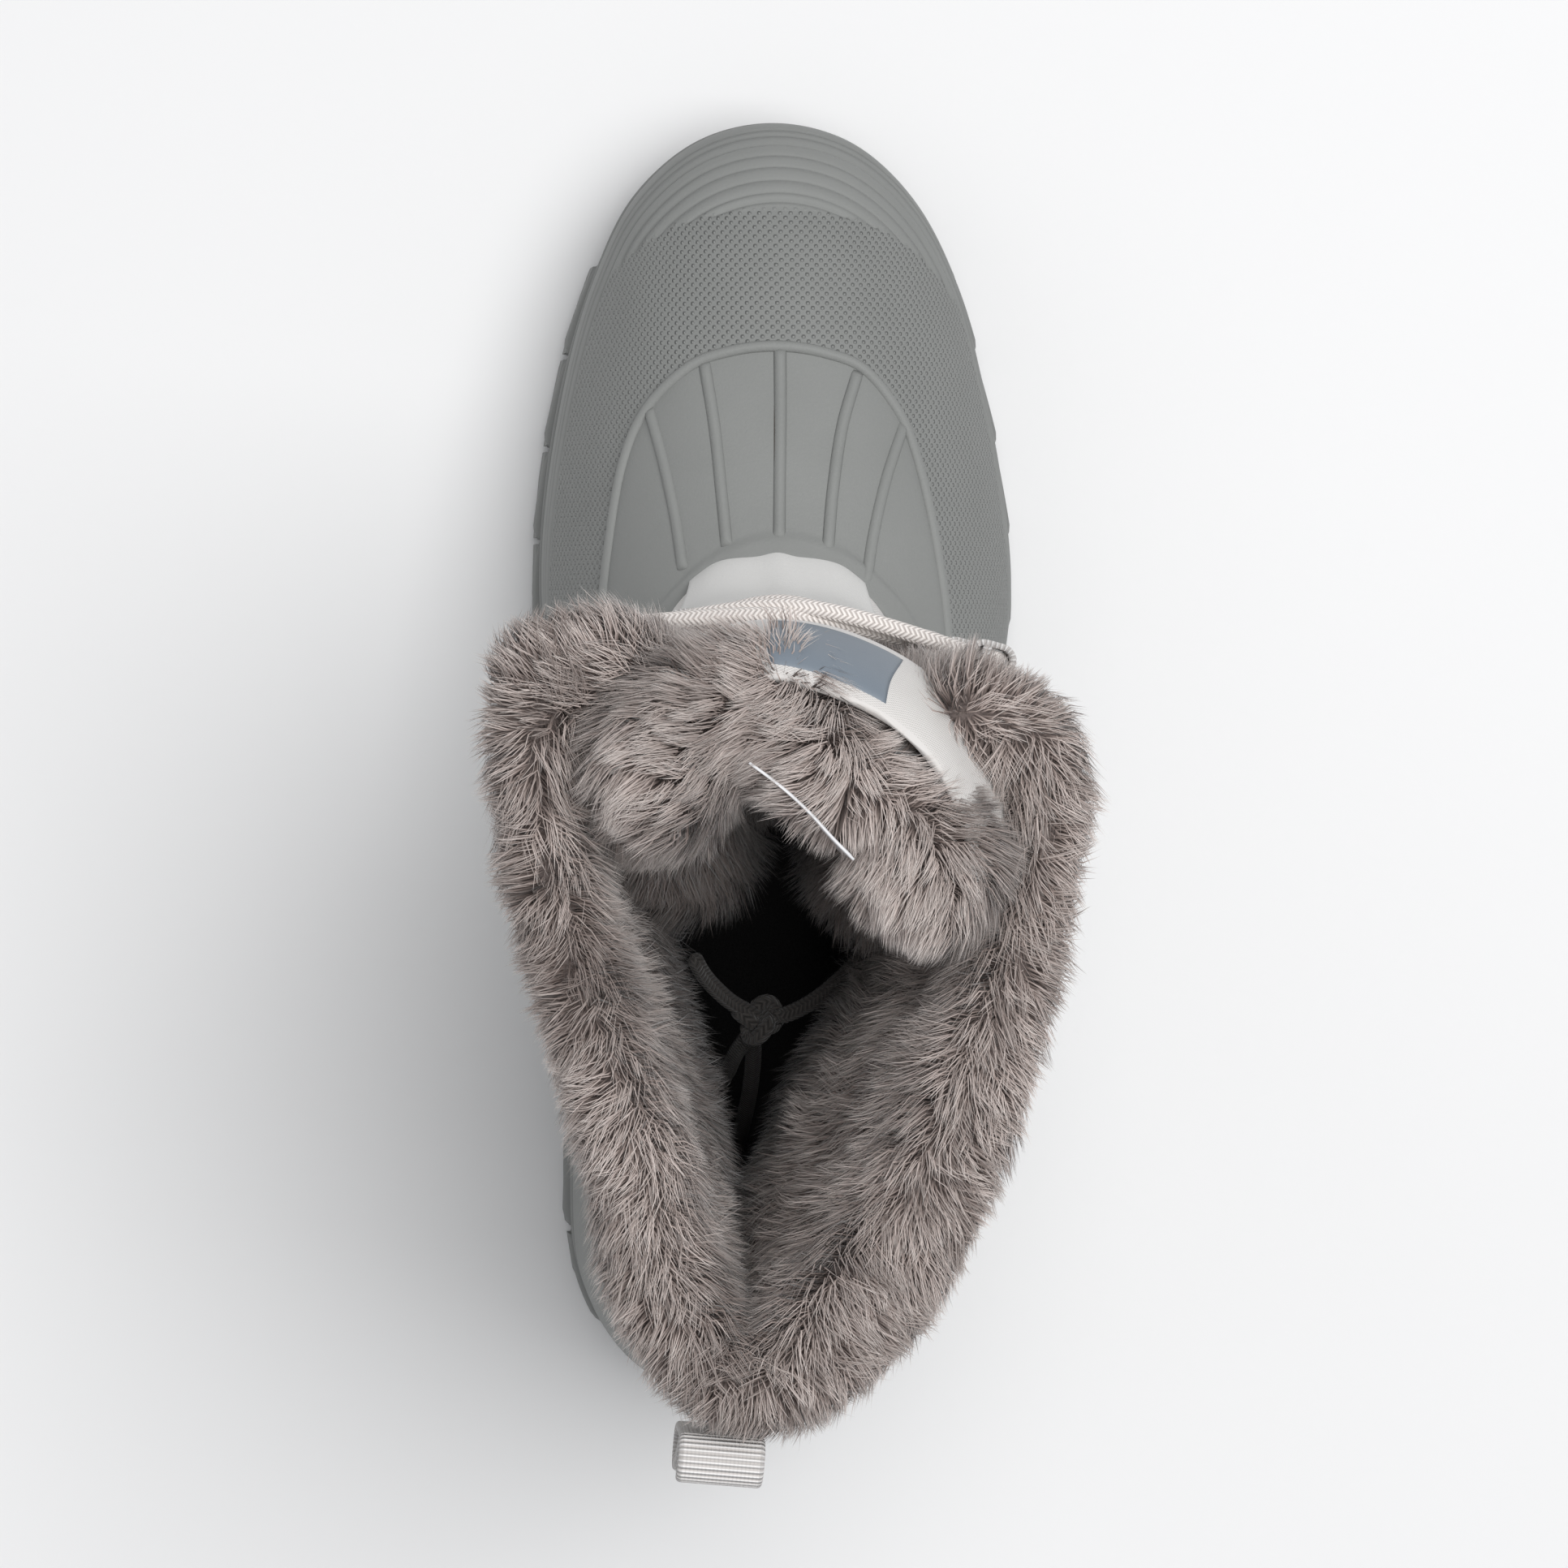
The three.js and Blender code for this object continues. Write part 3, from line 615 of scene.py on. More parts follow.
# %% The knot and the ends
LACE_RADIUS = 1.75
TIP_RADIUS = 1.95
TIP_LENGTH = 13.0
ROUTE_STEP = 1.4
KNOT = np.array([-4.0, 52, 146])
LONG_END = [
    [20, 71, 160], [16, 64, 154], [9, 57, 149], [2, 53, 146.5], [-4, 52, 146],
    [-4.5, 49, 139], [-4, 43, 128], [-4, 35, 113], [-4.5, 28, 98], [-5, 22.5, 82],
    [-5.5, 19.5, 66], [-5.5, 18.5, 50], [-5.5, 18.5, 37],
]
SHORT_END = [
    [-18, 66, 158], [-15, 61, 153], [-10, 56, 149], [-4, 52, 146],
    [-6, 48, 141], [-8, 44, 133], [-9, 40, 122], [-9.5, 37.5, 110], [-9.5, 36.5, 99],
]


def add_knot():
    """An overhand knot: a trefoil line, three crossings wide, as thick as the lace."""
    t = np.linspace(0, 2 * math.pi, 72, endpoint=False)
    x, y = np.sin(t) + 2 * np.sin(2 * t), np.cos(t) - 2 * np.cos(2 * t)
    line = np.stack([x, y, -1.3 * np.sin(3 * t)], -1) * 1.45
    tilt = np.array([[1, 0, 0], [0, 0.8, -0.6], [0, 0.6, 0.8]])
    knot = add_tube("lace_knot", KNOT + line @ tilt, line + 0.01, LACE_RADIUS, closed=True)
    # The knot takes the lace's colour in painted shade.
    return finish_piece(knot, LACE_PAINTED_SHADE, "cord")


def add_lace_end(name, points):
    """A free end of the lace, and the plastic tip that is pressed on it and closes just below it."""
    route = line_through(points, ROUTE_STEP)
    sideways = np.array([1.0, 0, 0])
    end = add_tube(name, route, sideways, LACE_RADIUS)
    # The end takes the lace's colour in painted shade.
    finish_piece(end, LACE_PAINTED_SHADE, "cord", "lace_ends")
    count = round(TIP_LENGTH / ROUTE_STEP)
    tip = add_tube(f"{name}_tip", route[-count:] - np.array([0, 0, 0.4]), sideways, TIP_RADIUS)
    finish_piece(tip, PLASTIC, "cord")
    length = np.linalg.norm(np.diff(route, axis=0), axis=1).sum() * MM
    return end, tip, [list(map(float, p)) for p in even(route, 5.0) * MM], length


knot = add_knot()
for name, points in (("lace_end_long", LONG_END), ("lace_end_short", SHORT_END)):
    end, tip, path, length = add_lace_end(name, points)
    pieces = [tip, knot] if name == "lace_end_long" else [tip]
    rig.cord(end, exit=path[0], length=length, diameter=2 * LACE_RADIUS * MM, far_end="fitting",
            stiffness="limp", lay="hanging", path=path, with_pieces=pieces)
    print(name, "length", round(length, 4))

# %% [markdown]
# ## The shell
# One moulding of rubber wraps the foot up to the ankle. Its wall at each station is a cubic curve that
# leaves the sole upright, swells, and turns over the instep. The table has a row for each station, on the
# line where it meets the sole and on its top line. The same surface gives the inside, one wall further in.

# %% The shell's stations
SHELL_COLUMNS = "y inner outer top_y top_inner top_outer top_z rise run".split()
SHELL_ROWS = np.array([
    [-40, 0, 0, -34, 0, 0, 84, 26, 3],
    [-31, -25, 25, -26.5, -21, 21, 83, 26, 3],
    [-12, -37.5, 37.5, -9, -32, 32, 80, 26, 3],
    [14, -39.5, 40, 15, -34, 35, 75, 24, 3],
    [47, -37.5, 42, 46, -33.5, 37, 72, 24, 4],
    [82, -39, 48, 78, -33.5, 40, 75, 25, 6],
    [114, -44, 55, 104, -31.5, 39, 82, 30, 9],
    [142, -46.5, 59, 122, -27, 35, 88, 34, 14],
    [168, -45, 57, 133, -21.5, 29.5, 91, 34, 20],
    [193, -40.5, 52, 140.5, -15, 23, 92, 35, 32],
    [214, -34, 46, 145, -9.5, 17.5, 92.5, 34, 44],
    [231, -25.5, 36.5, 147.3, -5, 13, 93, 33, 52],
    [243, -11.5, 22.5, 148.5, -0.5, 8.5, 93, 32, 57],
    [247, 5.5, 5.5, 149, 4, 4, 93, 32, 59],
])
SHELL = dict(zip(SHELL_COLUMNS, SHELL_ROWS.T))
GAP = 0.3
SHELL_WALL = 3.0


def both_sides(inner, outer):
    """Rows in the order heel, inner side, toe, outer side; the outer side leaves out the two ends."""
    return np.concatenate([inner, outer[1:-1][::-1]])


def columns(*names):
    return np.stack([SHELL[name] for name in names], -1)


BASE_LINE = both_sides(columns("inner", "y"), columns("outer", "y"))
TOP_LINE = both_sides(columns("top_inner", "top_y", "top_z"), columns("top_outer", "top_y", "top_z"))
WALL_SHAPE = both_sides(columns("rise", "run"), columns("rise", "run"))


TOE_SPRING = 11
SPRING_START = 186
TOE_TIP = 247


def toe_lift(y):
    """How far the sole rises off the ground towards the toe."""
    return TOE_SPRING * np.maximum(0, (y - SPRING_START) / (TOE_TIP - SPRING_START)) ** 2


def tread_height(y):
    """The ground side of the sole: flat under heel and ball, lifted at the arch, toe and heel's edge."""
    arch = 4 * smooth_step(30, 58, y) * (1 - smooth_step(88, 118, y))
    return toe_lift(y) + arch + 2.5 * np.maximum(0, (-30 - y) / 10) ** 2


def feather_height(y):
    """The line where the shell meets the sole."""
    return toe_lift(y) + 27 - 9 * smooth_step(30, 120, y)


def sole_outline(u, distance):
    """Points in plan on the sole's outline, moved outwards by a distance."""
    along = unit(around(BASE_LINE, u + 0.002) - around(BASE_LINE, u - 0.002))
    outwards = np.stack([-along[..., 1], along[..., 0]], -1)
    return around(BASE_LINE, u) + outwards * np.asarray(distance)[..., None]


def shell_surface(u, v):
    """The shell's outer face at u around and v up: a cubic curve from foot to top line at each u."""
    u, v = np.broadcast_arrays(u, v)
    base = around(BASE_LINE, u)
    foot_z = feather_height(base[..., 1]) + GAP
    top = around(TOP_LINE, u)
    rise, run = np.moveaxis(around(WALL_SHAPE, u), -1, 0)
    foot = np.concatenate([base, foot_z[..., None]], -1)
    knee = np.concatenate([sole_outline(u, 2.0), (foot_z + rise)[..., None]], -1)
    shoulder = top + unit(knee - top) * run[..., None]
    shoulder[..., 2] = np.maximum(shoulder[..., 2], top[..., 2] - 3 - 0.24 * run)
    t = v[..., None]
    s = 1 - t
    return s**3 * foot + 3 * s * s * t * knee + 3 * s * t * t * shoulder + t**3 * top


def shell_normal(u, v):
    """The outward direction, from small steps around and up."""
    low, high = np.maximum(v - 0.004, 0), np.minimum(v + 0.004, 1)
    up = shell_surface(u, high) - shell_surface(u, low)
    along = shell_surface(u + 0.0015, v) - shell_surface(u - 0.0015, v)
    return unit(np.cross(up, along))


# %% [markdown]
# Around the toe run fine grooves, one behind the other; the three lowest go all round the boot. Behind
# them the rubber is knurled with small studs, up to an arch that frames the smooth instep. The grid has
# extra rows where the grooves are, so they are real relief; the studs are too small and are bump.

# %% Grooves, the knurled field and the rim
GROOVE_INSETS = [2.3, 3.7, 5.9, 8.4, 11.1, 14.2, 17.1, 19.3]
GROOVES_ALL_ROUND = 3
RIM_WIDTH = 4.6
ARCH = np.array([
    [-33.5, 88], [-34.6, 112], [-34.4, 135], [-33.1, 149.7], [-30, 168.5], [-24.9, 181],
    [-15.6, 190.4], [-6, 194], [4.1, 195], [14, 193.6], [22.8, 190], [30.2, 181], [33.8, 172.5],
    [36.9, 160], [39.3, 145.6], [40.7, 132], [41.2, 112], [40, 92],
])


def knurl_front(x):
    """How far forward the knurled field reaches: a flat arc that bends back at both sides."""
    across = x - 4.4
    return 225.4 - 0.005 * across**2 - 4e-6 * across**4


def inside_arch(x, y):
    """Millimetres inside the arch, negative outside it."""
    apex = int(np.argmax(ARCH[:, 1]))
    left = np.interp(y, ARCH[: apex + 1, 1], ARCH[: apex + 1, 0])
    right = np.interp(y, ARCH[apex:, 1][::-1], ARCH[apex:, 0][::-1])
    return np.minimum(ARCH[apex, 1] - y, np.minimum(x - left, right - x))


toe_places = np.linspace(0, 1, 2001)
toe_profile = shell_surface(np.full(2001, 0.5), toe_places)
toe_reach = np.maximum.accumulate(TOE_TIP - toe_profile[:, 1])
groove_places = np.interp(GROOVE_INSETS, toe_reach, toe_places)
close_rows = (groove_places[:, None] + np.array([-0.0085, -0.0035, 0, 0.0035, 0.0085])).ravel()
filler = np.concatenate([np.linspace(0, 0.30, 26), np.linspace(0.30, 0.93, 62), np.linspace(0.93, 1, 12)])
apart = np.abs(filler[:, None] - close_rows).min(1) > 0.005
shell_v = np.unique(np.concatenate([close_rows, filler[apart], [0.0, 1.0]]).round(5))
shell_v = shell_v[shell_v >= 0]
SHELL_POINTS = 500
shell_u = np.arange(SHELL_POINTS) / SHELL_POINTS
print("groove places", groove_places.round(3), "rows", len(shell_v))


def shell_relief(points, v, arc):
    """Relief in millimetres and the knurl's strength; arc is each point's distance up from the sole."""
    x, y, z = np.moveaxis(points, -1, 0)
    speed = np.gradient(arc, axis=0) / np.gradient(v)[:, None]
    front = smooth_step(-0.5, 0.7, y - knurl_front(x))
    relief = np.zeros(x.shape)
    for k, place in enumerate(groove_places):
        away = (v[:, None] - place) * speed
        dip = 0.3 * np.exp(-(((away - 1.0) / 0.6) ** 2)) - 0.85 * np.exp(-((away / 0.48) ** 2))
        reach = 0.35 + 0.65 * smooth_step(150, 215, y) if k < GROOVES_ALL_ROUND else front
        relief += dip * reach
    to_top = arc[-1] - arc
    relief += 0.6 * (1 - smooth_step(RIM_WIDTH - 0.5, RIM_WIDTH + 0.4, to_top))
    above = smooth_step(0.5, 2.0, (v[:, None] - groove_places[GROOVES_ALL_ROUND - 1]) * speed)
    knurl = above * (1 - front) * smooth_step(0.4, 1.6, -inside_arch(x, y))
    knurl *= smooth_step(RIM_WIDTH, RIM_WIDTH + 1.2, to_top) * smooth_step(48, 58, y + 0.4 * (z - 40))
    relief += 0.12 * waves(points, 45, 5)
    return relief, knurl


# %% The shell's skin
def shell_map(points):
    """The map for the studs: how far across the boot's crown and down its side, and how far along."""
    ridge = shell_surface(np.full(400, 0.5), np.linspace(0, 1, 400))[::-1]
    crown = np.interp(points[..., 1], ridge[:, 1], ridge[:, 2])
    middle = 4.5 * smooth_step(60, 150, points[..., 1])
    aside = points[..., 0] - middle
    drop = np.maximum(crown - points[..., 2], 0)
    return np.stack([aside + np.sign(aside) * 0.72 * drop, 1.1 * points[..., 1]], -1)


def build_shell():
    """Outside rows, a round lip, and inside rows one wall further in, closed under the foot."""
    u, v = np.meshgrid(shell_u, shell_v)
    outside, normals = shell_surface(u, v), shell_normal(u, v)
    relief, knurl = shell_relief(outside, shell_v, distance_along(outside))
    skin = outside + normals * relief[..., None]
    inner_v = np.linspace(1, 0, 22)
    u_in, v_in = np.meshgrid(shell_u, inner_v)
    inside = shell_surface(u_in, v_in) - SHELL_WALL * shell_normal(u_in, v_in)
    inside[-1, :, 2] = outside[0, :, 2]
    up = unit(outside[-1] - outside[-3])
    middle = (skin[-1] + inside[0]) / 2
    half = (skin[-1] - inside[0]) / 2
    angles = np.radians([30, 60, 90, 120, 150])
    lip = [middle + half * math.cos(a) + up * (SHELL_WALL / 2 * math.sin(a)) for a in angles]
    rings = np.concatenate([skin, np.stack(lip), inside])
    knurl_all = np.zeros(rings.shape[:2])
    knurl_all[: len(knurl)] = knurl
    uv = shell_map(rings)
    uv = np.concatenate([uv, uv[:, :1]], axis=1)
    uv = np.concatenate([uv, uv[:1]])
    piece = add_loops("rubber_shell", rings, uv, {"knurl": knurl_all}, closed=True)
    return finish_piece(piece, SHELL_RUBBER, "shell_rubber", "shell")


build_shell()


# %% [markdown]
# The arch, its five ribs and the line of the mould stand proud. Each is a half-round section carried along
# a line that is drawn in plan and dropped onto the shell: a few Newton steps find the surface under it.


# %% Beads on the shell
def drop_on_shell(plan):
    """Places on the shell's upper side under points in plan, and the outward direction there."""
    u, v = np.meshgrid(np.arange(260) / 260, np.linspace(0.3, 1, 120))
    near = shell_surface(u, v)[..., :2].reshape(-1, 2)
    pick = np.array([np.argmin(((near - p) ** 2).sum(1)) for p in plan])
    u, v = u.ravel()[pick], v.ravel()[pick]
    for _ in range(5):
        miss = plan - shell_surface(u, v)[:, :2]
        du = (shell_surface(u + 1e-3, v) - shell_surface(u - 1e-3, v))[:, :2] / 2e-3
        dv = (shell_surface(u, v) - shell_surface(u, v - 1e-3))[:, :2] / 1e-3
        area = du[:, 0] * dv[:, 1] - du[:, 1] * dv[:, 0]
        step_u = (miss[:, 0] * dv[:, 1] - miss[:, 1] * dv[:, 0]) / area
        step_v = (du[:, 0] * miss[:, 1] - du[:, 1] * miss[:, 0]) / area
        u = u + np.clip(step_u, -0.01, 0.01)
        v = np.clip(v + np.clip(step_v, -0.02, 0.02), 0.2, 1)
    return shell_surface(u, v), shell_normal(u, v)


def bead_rings(line, normals, width, height, fade=2.0):
    """A half-round section along a line on a surface; it sinks into the surface at both ends."""
    along = unit(np.gradient(line, axis=0))
    side = unit(np.cross(normals, along))
    length = distance_along(line)
    ends = np.minimum(length, length[-1] - length)
    rise = height * np.sqrt(smooth_step(-0.2, fade, ends))
    across = np.linspace(-1, 1, 11)
    dome = (1 - across**2) ** 0.75
    section = line[:, None] + side[:, None] * (across * width / 2)[None, :, None]
    top = section + normals[:, None] * (rise[:, None] * dome - 0.12)[..., None]
    under = [line - side * s * width / 2 - normals * 0.8 for s in (-0.7, 0.7)]
    return np.concatenate([top, np.stack(under, 1)], axis=1)


def add_stack(name, stacks):
    """Several closed stacks of rings as one mesh."""
    points, squares, caps, start = [], [], {}, 0
    for rings in stacks:
        levels, count = rings.shape[:2]
        flat = rings.reshape(-1, 3)
        faces = grid_faces(levels, count, ring=True)
        ends = [np.arange(count)[::-1], (levels - 1) * count + np.arange(count)]
        if volume_of(flat, faces) < 0:
            faces, ends = faces[:, ::-1], [e[::-1] for e in ends]
        points.append(flat)
        squares.append(faces + start)
        caps.setdefault(count, []).extend(e + start for e in ends)
        start += len(flat)
    faces = [np.concatenate(squares)] + [np.stack(ends) for ends in caps.values()]
    return add_mesh(name, np.concatenate(points), faces)


RIBS = [
    [[-24.2, 181.5], [-21.4, 170.5], [-18.9, 158], [-17.3, 146]],
    [[-12.2, 191.6], [-10.2, 177.5], [-8.9, 163], [-7.9, 151]],
    [[4.3, 194.5], [4.1, 180], [3.7, 165], [3.4, 152.5]],
    [[21.4, 189.6], [17.6, 177.3], [15.2, 163], [13.9, 150]],
    [[31.6, 178.2], [27.2, 166], [24, 153.5], [22.2, 142.5]],
]
ARCH_BEAD = (2.7, 1.2)  # width and height
RIB_BEAD = (2.8, 1.1)
bead_stacks = []
for plan, (width, height) in [(ARCH, ARCH_BEAD)] + [(np.array(rib, float), RIB_BEAD) for rib in RIBS]:
    spots, normals = drop_on_shell(line_through(plan, 1.0))
    bead_stacks.append(bead_rings(spots, normals, width, height))
finish_piece(add_stack("shell_beads", bead_stacks), SHELL_RUBBER, "shell_rubber")

# %% The mould line
mould_plan = line_through([[3.0, 184], [2.75, 170], [2.35, 153], [2.2, 149.3]], 0.8)
mould_spots, mould_normals = drop_on_shell(mould_plan)
mould = add_stack("mould_line", [bead_rings(mould_spots, mould_normals, 0.5, 0.45, fade=9.0)])
finish_piece(mould, DARK_SEAM, "shell_rubber")

# %% [markdown]
# ## The sole
# The tread and its bars stay as packed. A smooth band of rubber goes round its edge, with two grooves,
# and over each block at the ball and the heel lies a lug that stands proudest at its back end.


# %% Sole band
SOLE_POINTS = 480
BAND_GROOVES = (3.4, 5.4)


def build_sole_band():
    """A closed ring: down the outside from the feather line to the tread, and back up inside the edge."""
    u = np.arange(SOLE_POINTS) / SOLE_POINTS
    y = sole_outline(u, np.zeros(SOLE_POINTS))[:, 1]
    top, bottom = feather_height(y) + 0.15, tread_height(y) + 6.0
    section = []
    for share in np.linspace(0, 1, 30):
        z = top + (bottom - top) * share
        below = top - z
        swell = 0.75 * np.sqrt(smooth_step(0, 1.4, below)) - 2.0 * smooth_step(0.86, 1, share)
        grooves = sum(0.55 * np.exp(-(((below - d) / 0.4) ** 2)) for d in BAND_GROOVES)
        plan = sole_outline(u, swell - 0.15 - grooves)
        section.append(np.column_stack([plan, z]))
    for z, inset in ((bottom + 1, -3.2), (top - 1, -3.2), (top, -2.0)):
        section.append(np.column_stack([sole_outline(u, np.full(SOLE_POINTS, inset)), z]))
    band = add_loops("sole_band", np.stack(section), closed=True)
    return finish_piece(band, TREAD_RUBBER, "tread_rubber")


build_sole_band()


# %% Side lugs
def outline_place(y, side):
    """u where the sole's outline passes a station on one side."""
    u = np.linspace(0, 0.5, 600) if side == "inner" else np.linspace(1, 0.5, 600)
    return np.interp(y, sole_outline(u, np.zeros(600))[:, 1], u)


LUG_STATIONS = (-14, 8, 122.3, 143.3, 164.3, 185.3, 206.3)
LUG_LENGTH = 20.2
LUG_PROUD = (2.35, 1.35)  # at its back and at its front


def lug_rings(y, side, count=14, low=0.9, high=12.4):
    """A block on the sole's side in rings from back to front: rounded, and proudest at the back."""
    places = outline_place(np.linspace(y - LUG_LENGTH / 2, y + LUG_LENGTH / 2, count), side)
    ends = np.minimum(np.arange(count), np.arange(count)[::-1])
    proud = np.linspace(*LUG_PROUD, count) * (0.2 + 0.8 * np.sqrt(smooth_step(-0.5, 2, ends)))
    rings = []
    for u, rise in zip(places, proud):
        ground = float(tread_height(sole_outline(np.array([u]), np.zeros(1))[0, 1]))
        heights = np.array([low, low + 0.6, low + 1.6, 7, high - 1.6, high - 0.5, high, high, low])
        depths = np.array([0.3, 0.82, 1, 1, 0.95, 0.7, 0.15, -1, -1]) * rise
        depths[-2:] = -1.5
        plan = sole_outline(np.full(len(depths), u), depths)
        rings.append(np.column_stack([plan, ground + heights]))
    return np.stack(rings)


lugs = [lug_rings(y, side) for y in LUG_STATIONS for side in ("inner", "outer")]
finish_piece(add_stack("side_lugs", lugs), TREAD_RUBBER, "tread_rubber")
# The insole takes the near-black felt: painted shade.
for node, material in (("outsole", TREAD_RUBBER), ("insole", FELT_PAINTED_SHADE)):
    kept = frame["nodes"][node].data.materials
    kept.clear()
    kept.append(material)

# %% [markdown]
# ## Walls of cloth and pile
# Shaft and tongue are both walls that end in two free edges beside the lacing slot. One function makes
# them: given the outer and the inner face, it runs a closed line along the outside, round one edge, back
# along the inside and round the other edge. A cap of shrinking rings rounds the top.


# %% Walls with free edges
def wall_rings(outer, inner, skin_out, skin_in, corner=5):
    """Closed rings inside the wall between outer and inner, and each point's place on the middle line."""
    across = unit(inner - outer)
    outside = outer + across * skin_out
    inside = inner - across * skin_in
    arcs, cores = [], []
    for end, beside in ((-1, -2), (0, 1)):
        centre = (outside[:, end] + inside[:, end]) / 2
        half = (outside[:, end] - inside[:, end]) / 2
        ahead = unit(outside[:, end] - outside[:, beside] + inside[:, end] - inside[:, beside])
        angles = math.pi * (np.arange(corner) + 1) / (corner + 1)
        if end == 0:
            angles = angles[::-1]
        bulge = ahead * (np.linalg.norm(half, axis=-1, keepdims=True) * 0.8)
        arcs.append(np.stack([centre + half * math.cos(a) + bulge * math.sin(a) for a in angles], 1))
        cores.append(np.repeat(centre[:, None], corner, 1))
    middle = (outside + inside) / 2
    rings = np.concatenate([outside, arcs[0], inside[:, ::-1], arcs[1]], 1)
    return rings, np.concatenate([middle, cores[0], middle[:, ::-1], cores[1]], 1)


def cap_rings(rings, middle, height, steps=6):
    """The same rings with a rounded cap: each step draws the last ring in to its middle line and up."""
    angles = np.linspace(0, math.pi / 2, steps + 1)[1:]
    spread = rings[-1] - middle[-1]
    rise = np.array([0, 0, 1.0]) * height
    cap = [middle[-1] + spread * max(math.cos(a), 0.02) + rise * math.sin(a) for a in angles]
    core = [middle[-1] + rise * 0.2 * math.sin(a) for a in angles]
    return np.concatenate([rings, np.stack(cap)]), np.concatenate([middle, np.stack(core)])


# %% The shaft's sections
SHAFT_COLUMNS = "z_back z_front back front heel shift wall rear haunch mid corner face".split()
SHAFT_ROWS = [
    [57, 82, -34.5, 146.8, 0, 3, 9, 27, 32, 34, 27, 14],
    [80, 92, -33, 146.8, 0, 3, 11, 26, 31.5, 33, 26, 14],
    [102, 106, -33, 139.5, -2, 2, 15, 26, 32.5, 35, 30, 18],
    [132, 132, -32, 132, -4, 1, 19, 26, 34, 39, 38, 20],
    [166, 166, -30, 129.5, -6, -1, 20, 26, 35.5, 44, 46, 28],
    [200, 202, -27, 128.5, -8, -2, 17, 26, 37, 48, 52, 38],
    [227, 234, -24.5, 127.4, -10, -2, 13, 26, 38.5, 51, 56.5, 45],
]
SHAFT = [dict(zip(SHAFT_COLUMNS, row)) for row in SHAFT_ROWS]
RING_PLACES = {"rear": 0.12, "haunch": 0.33, "mid": 0.61, "corner": 0.885, "face": 0.985}
NARROWEST_INSIDE = 3.5
COLLAR_SKEW = 0.085
SLOT = {"x": 3, "bottom": 120, "radius": 15, "top": 265, "inner": -42, "outer": 38}


def shaft_ring(row, u, share):
    """One section at places u, moved in by a share of the wall's thickness."""
    inset = share * row["wall"]
    back, front = row["back"] + inset, row["front"] - inset
    sides = {-1: [], 1: []}
    for name, place in RING_PLACES.items():
        centre = row["heel"] + (row["shift"] - row["heel"]) * min(1, place / RING_PLACES["haunch"])
        half = max(row[name] - inset, NARROWEST_INSIDE * (0.4 + place))
        for sign, side in sides.items():
            side.append([centre + sign * half, back + place * (front - back)])
    control = [[row["heel"], back], *sides[-1], [row["shift"], front], *sides[1][::-1]]
    plan = around(np.array(control, float), u)
    along = (plan[..., 1] - row["back"]) / (row["front"] - row["back"])
    z = row["z_back"] + (row["z_front"] - row["z_back"]) * along
    skew = COLLAR_SKEW * smooth_step(100, 235, row["z_front"])
    return np.stack([plan[..., 0], plan[..., 1] - skew * plan[..., 0], z], -1)


def shaft_face(u, w, share):
    """The wall at places u (levels, columns) and levels w, at a share of its thickness from outside."""
    rings = np.stack([shaft_ring(row, u, share) for row in SHAFT])
    last = len(rings) - 1
    longer = np.concatenate([2 * rings[:1] - rings[1:2], rings, 2 * rings[-1:] - rings[-2:-1]])
    place = np.clip(w, 0, 1) * last
    i = np.minimum(np.floor(place).astype(int), last - 1)
    level = np.arange(len(w))
    t = (place - i)[:, None, None]
    return glide(longer[i, level], longer[i + 1, level], longer[i + 2, level], longer[i + 3, level], t)


def slot_edge(z, side):
    """x of the slot's edge at a height: a straight line above a rounded bottom."""
    sign = -1 if side == "inner" else 1
    start = SLOT["x"] + sign * SLOT["radius"]
    knee = SLOT["bottom"] + SLOT["radius"]
    straight = start + (SLOT[side] - start) * (z - knee) / (SLOT["top"] - knee)
    t = 1 - np.sqrt(np.clip((z - SLOT["bottom"]) / SLOT["radius"], 0, 1))
    bend = start * (1 - t) ** 2 + 2 * t * (1 - t) * start + SLOT["x"] * t**2
    return np.where(z > knee, straight, np.where(z > SLOT["bottom"], bend, SLOT["x"]))


def slot_places(w):
    """u of the slot's two edges at each level, found where the section crosses the edge's x."""
    u = np.tile(np.linspace(0.34, 0.66, 900), (len(w), 1))
    spots = shaft_face(u, w, 0.0)
    found = {}
    for side in ("inner", "outer"):
        miss = spots[..., 0] - slot_edge(spots[..., 2], side)
        found[side] = np.array([np.interp(0, m, row) for m, row in zip(miss, u)])
    return found["inner"], found["outer"]


def shaft_places(w, share):
    """u at shares of the way from the slot's outer edge, round the heel, to its inner edge."""
    inner, outer = slot_places(w)
    return outer[:, None] + share * (1 + inner - outer)[:, None]


# %% [markdown]
# Creases show where soft cloth folds over the ankle. Each is a trough drawn on one side of the
# shaft between two points, with its own width and depth, and every layer of the shaft follows it.

# %% Creases
CREASES = [  # side, from y and z, to y and z, width, depth
    (-1, 2, 106, 74, 112, 7, 1.7),
    (-1, 22, 126, 92, 122, 8, 1.5),
    (-1, -12, 142, 40, 152, 8, 1.1),
    (-1, 60, 168, 118, 150, 9, 1.2),
    (-1, 10, 186, 70, 196, 9, 0.9),
    (1, 4, 104, 80, 110, 7, 1.7),
    (1, 30, 122, 98, 126, 8, 1.5),
    (1, -14, 138, 34, 146, 8, 1.2),
    (1, 52, 160, 114, 146, 9, 1.2),
    (1, 14, 182, 62, 190, 9, 0.9),
]


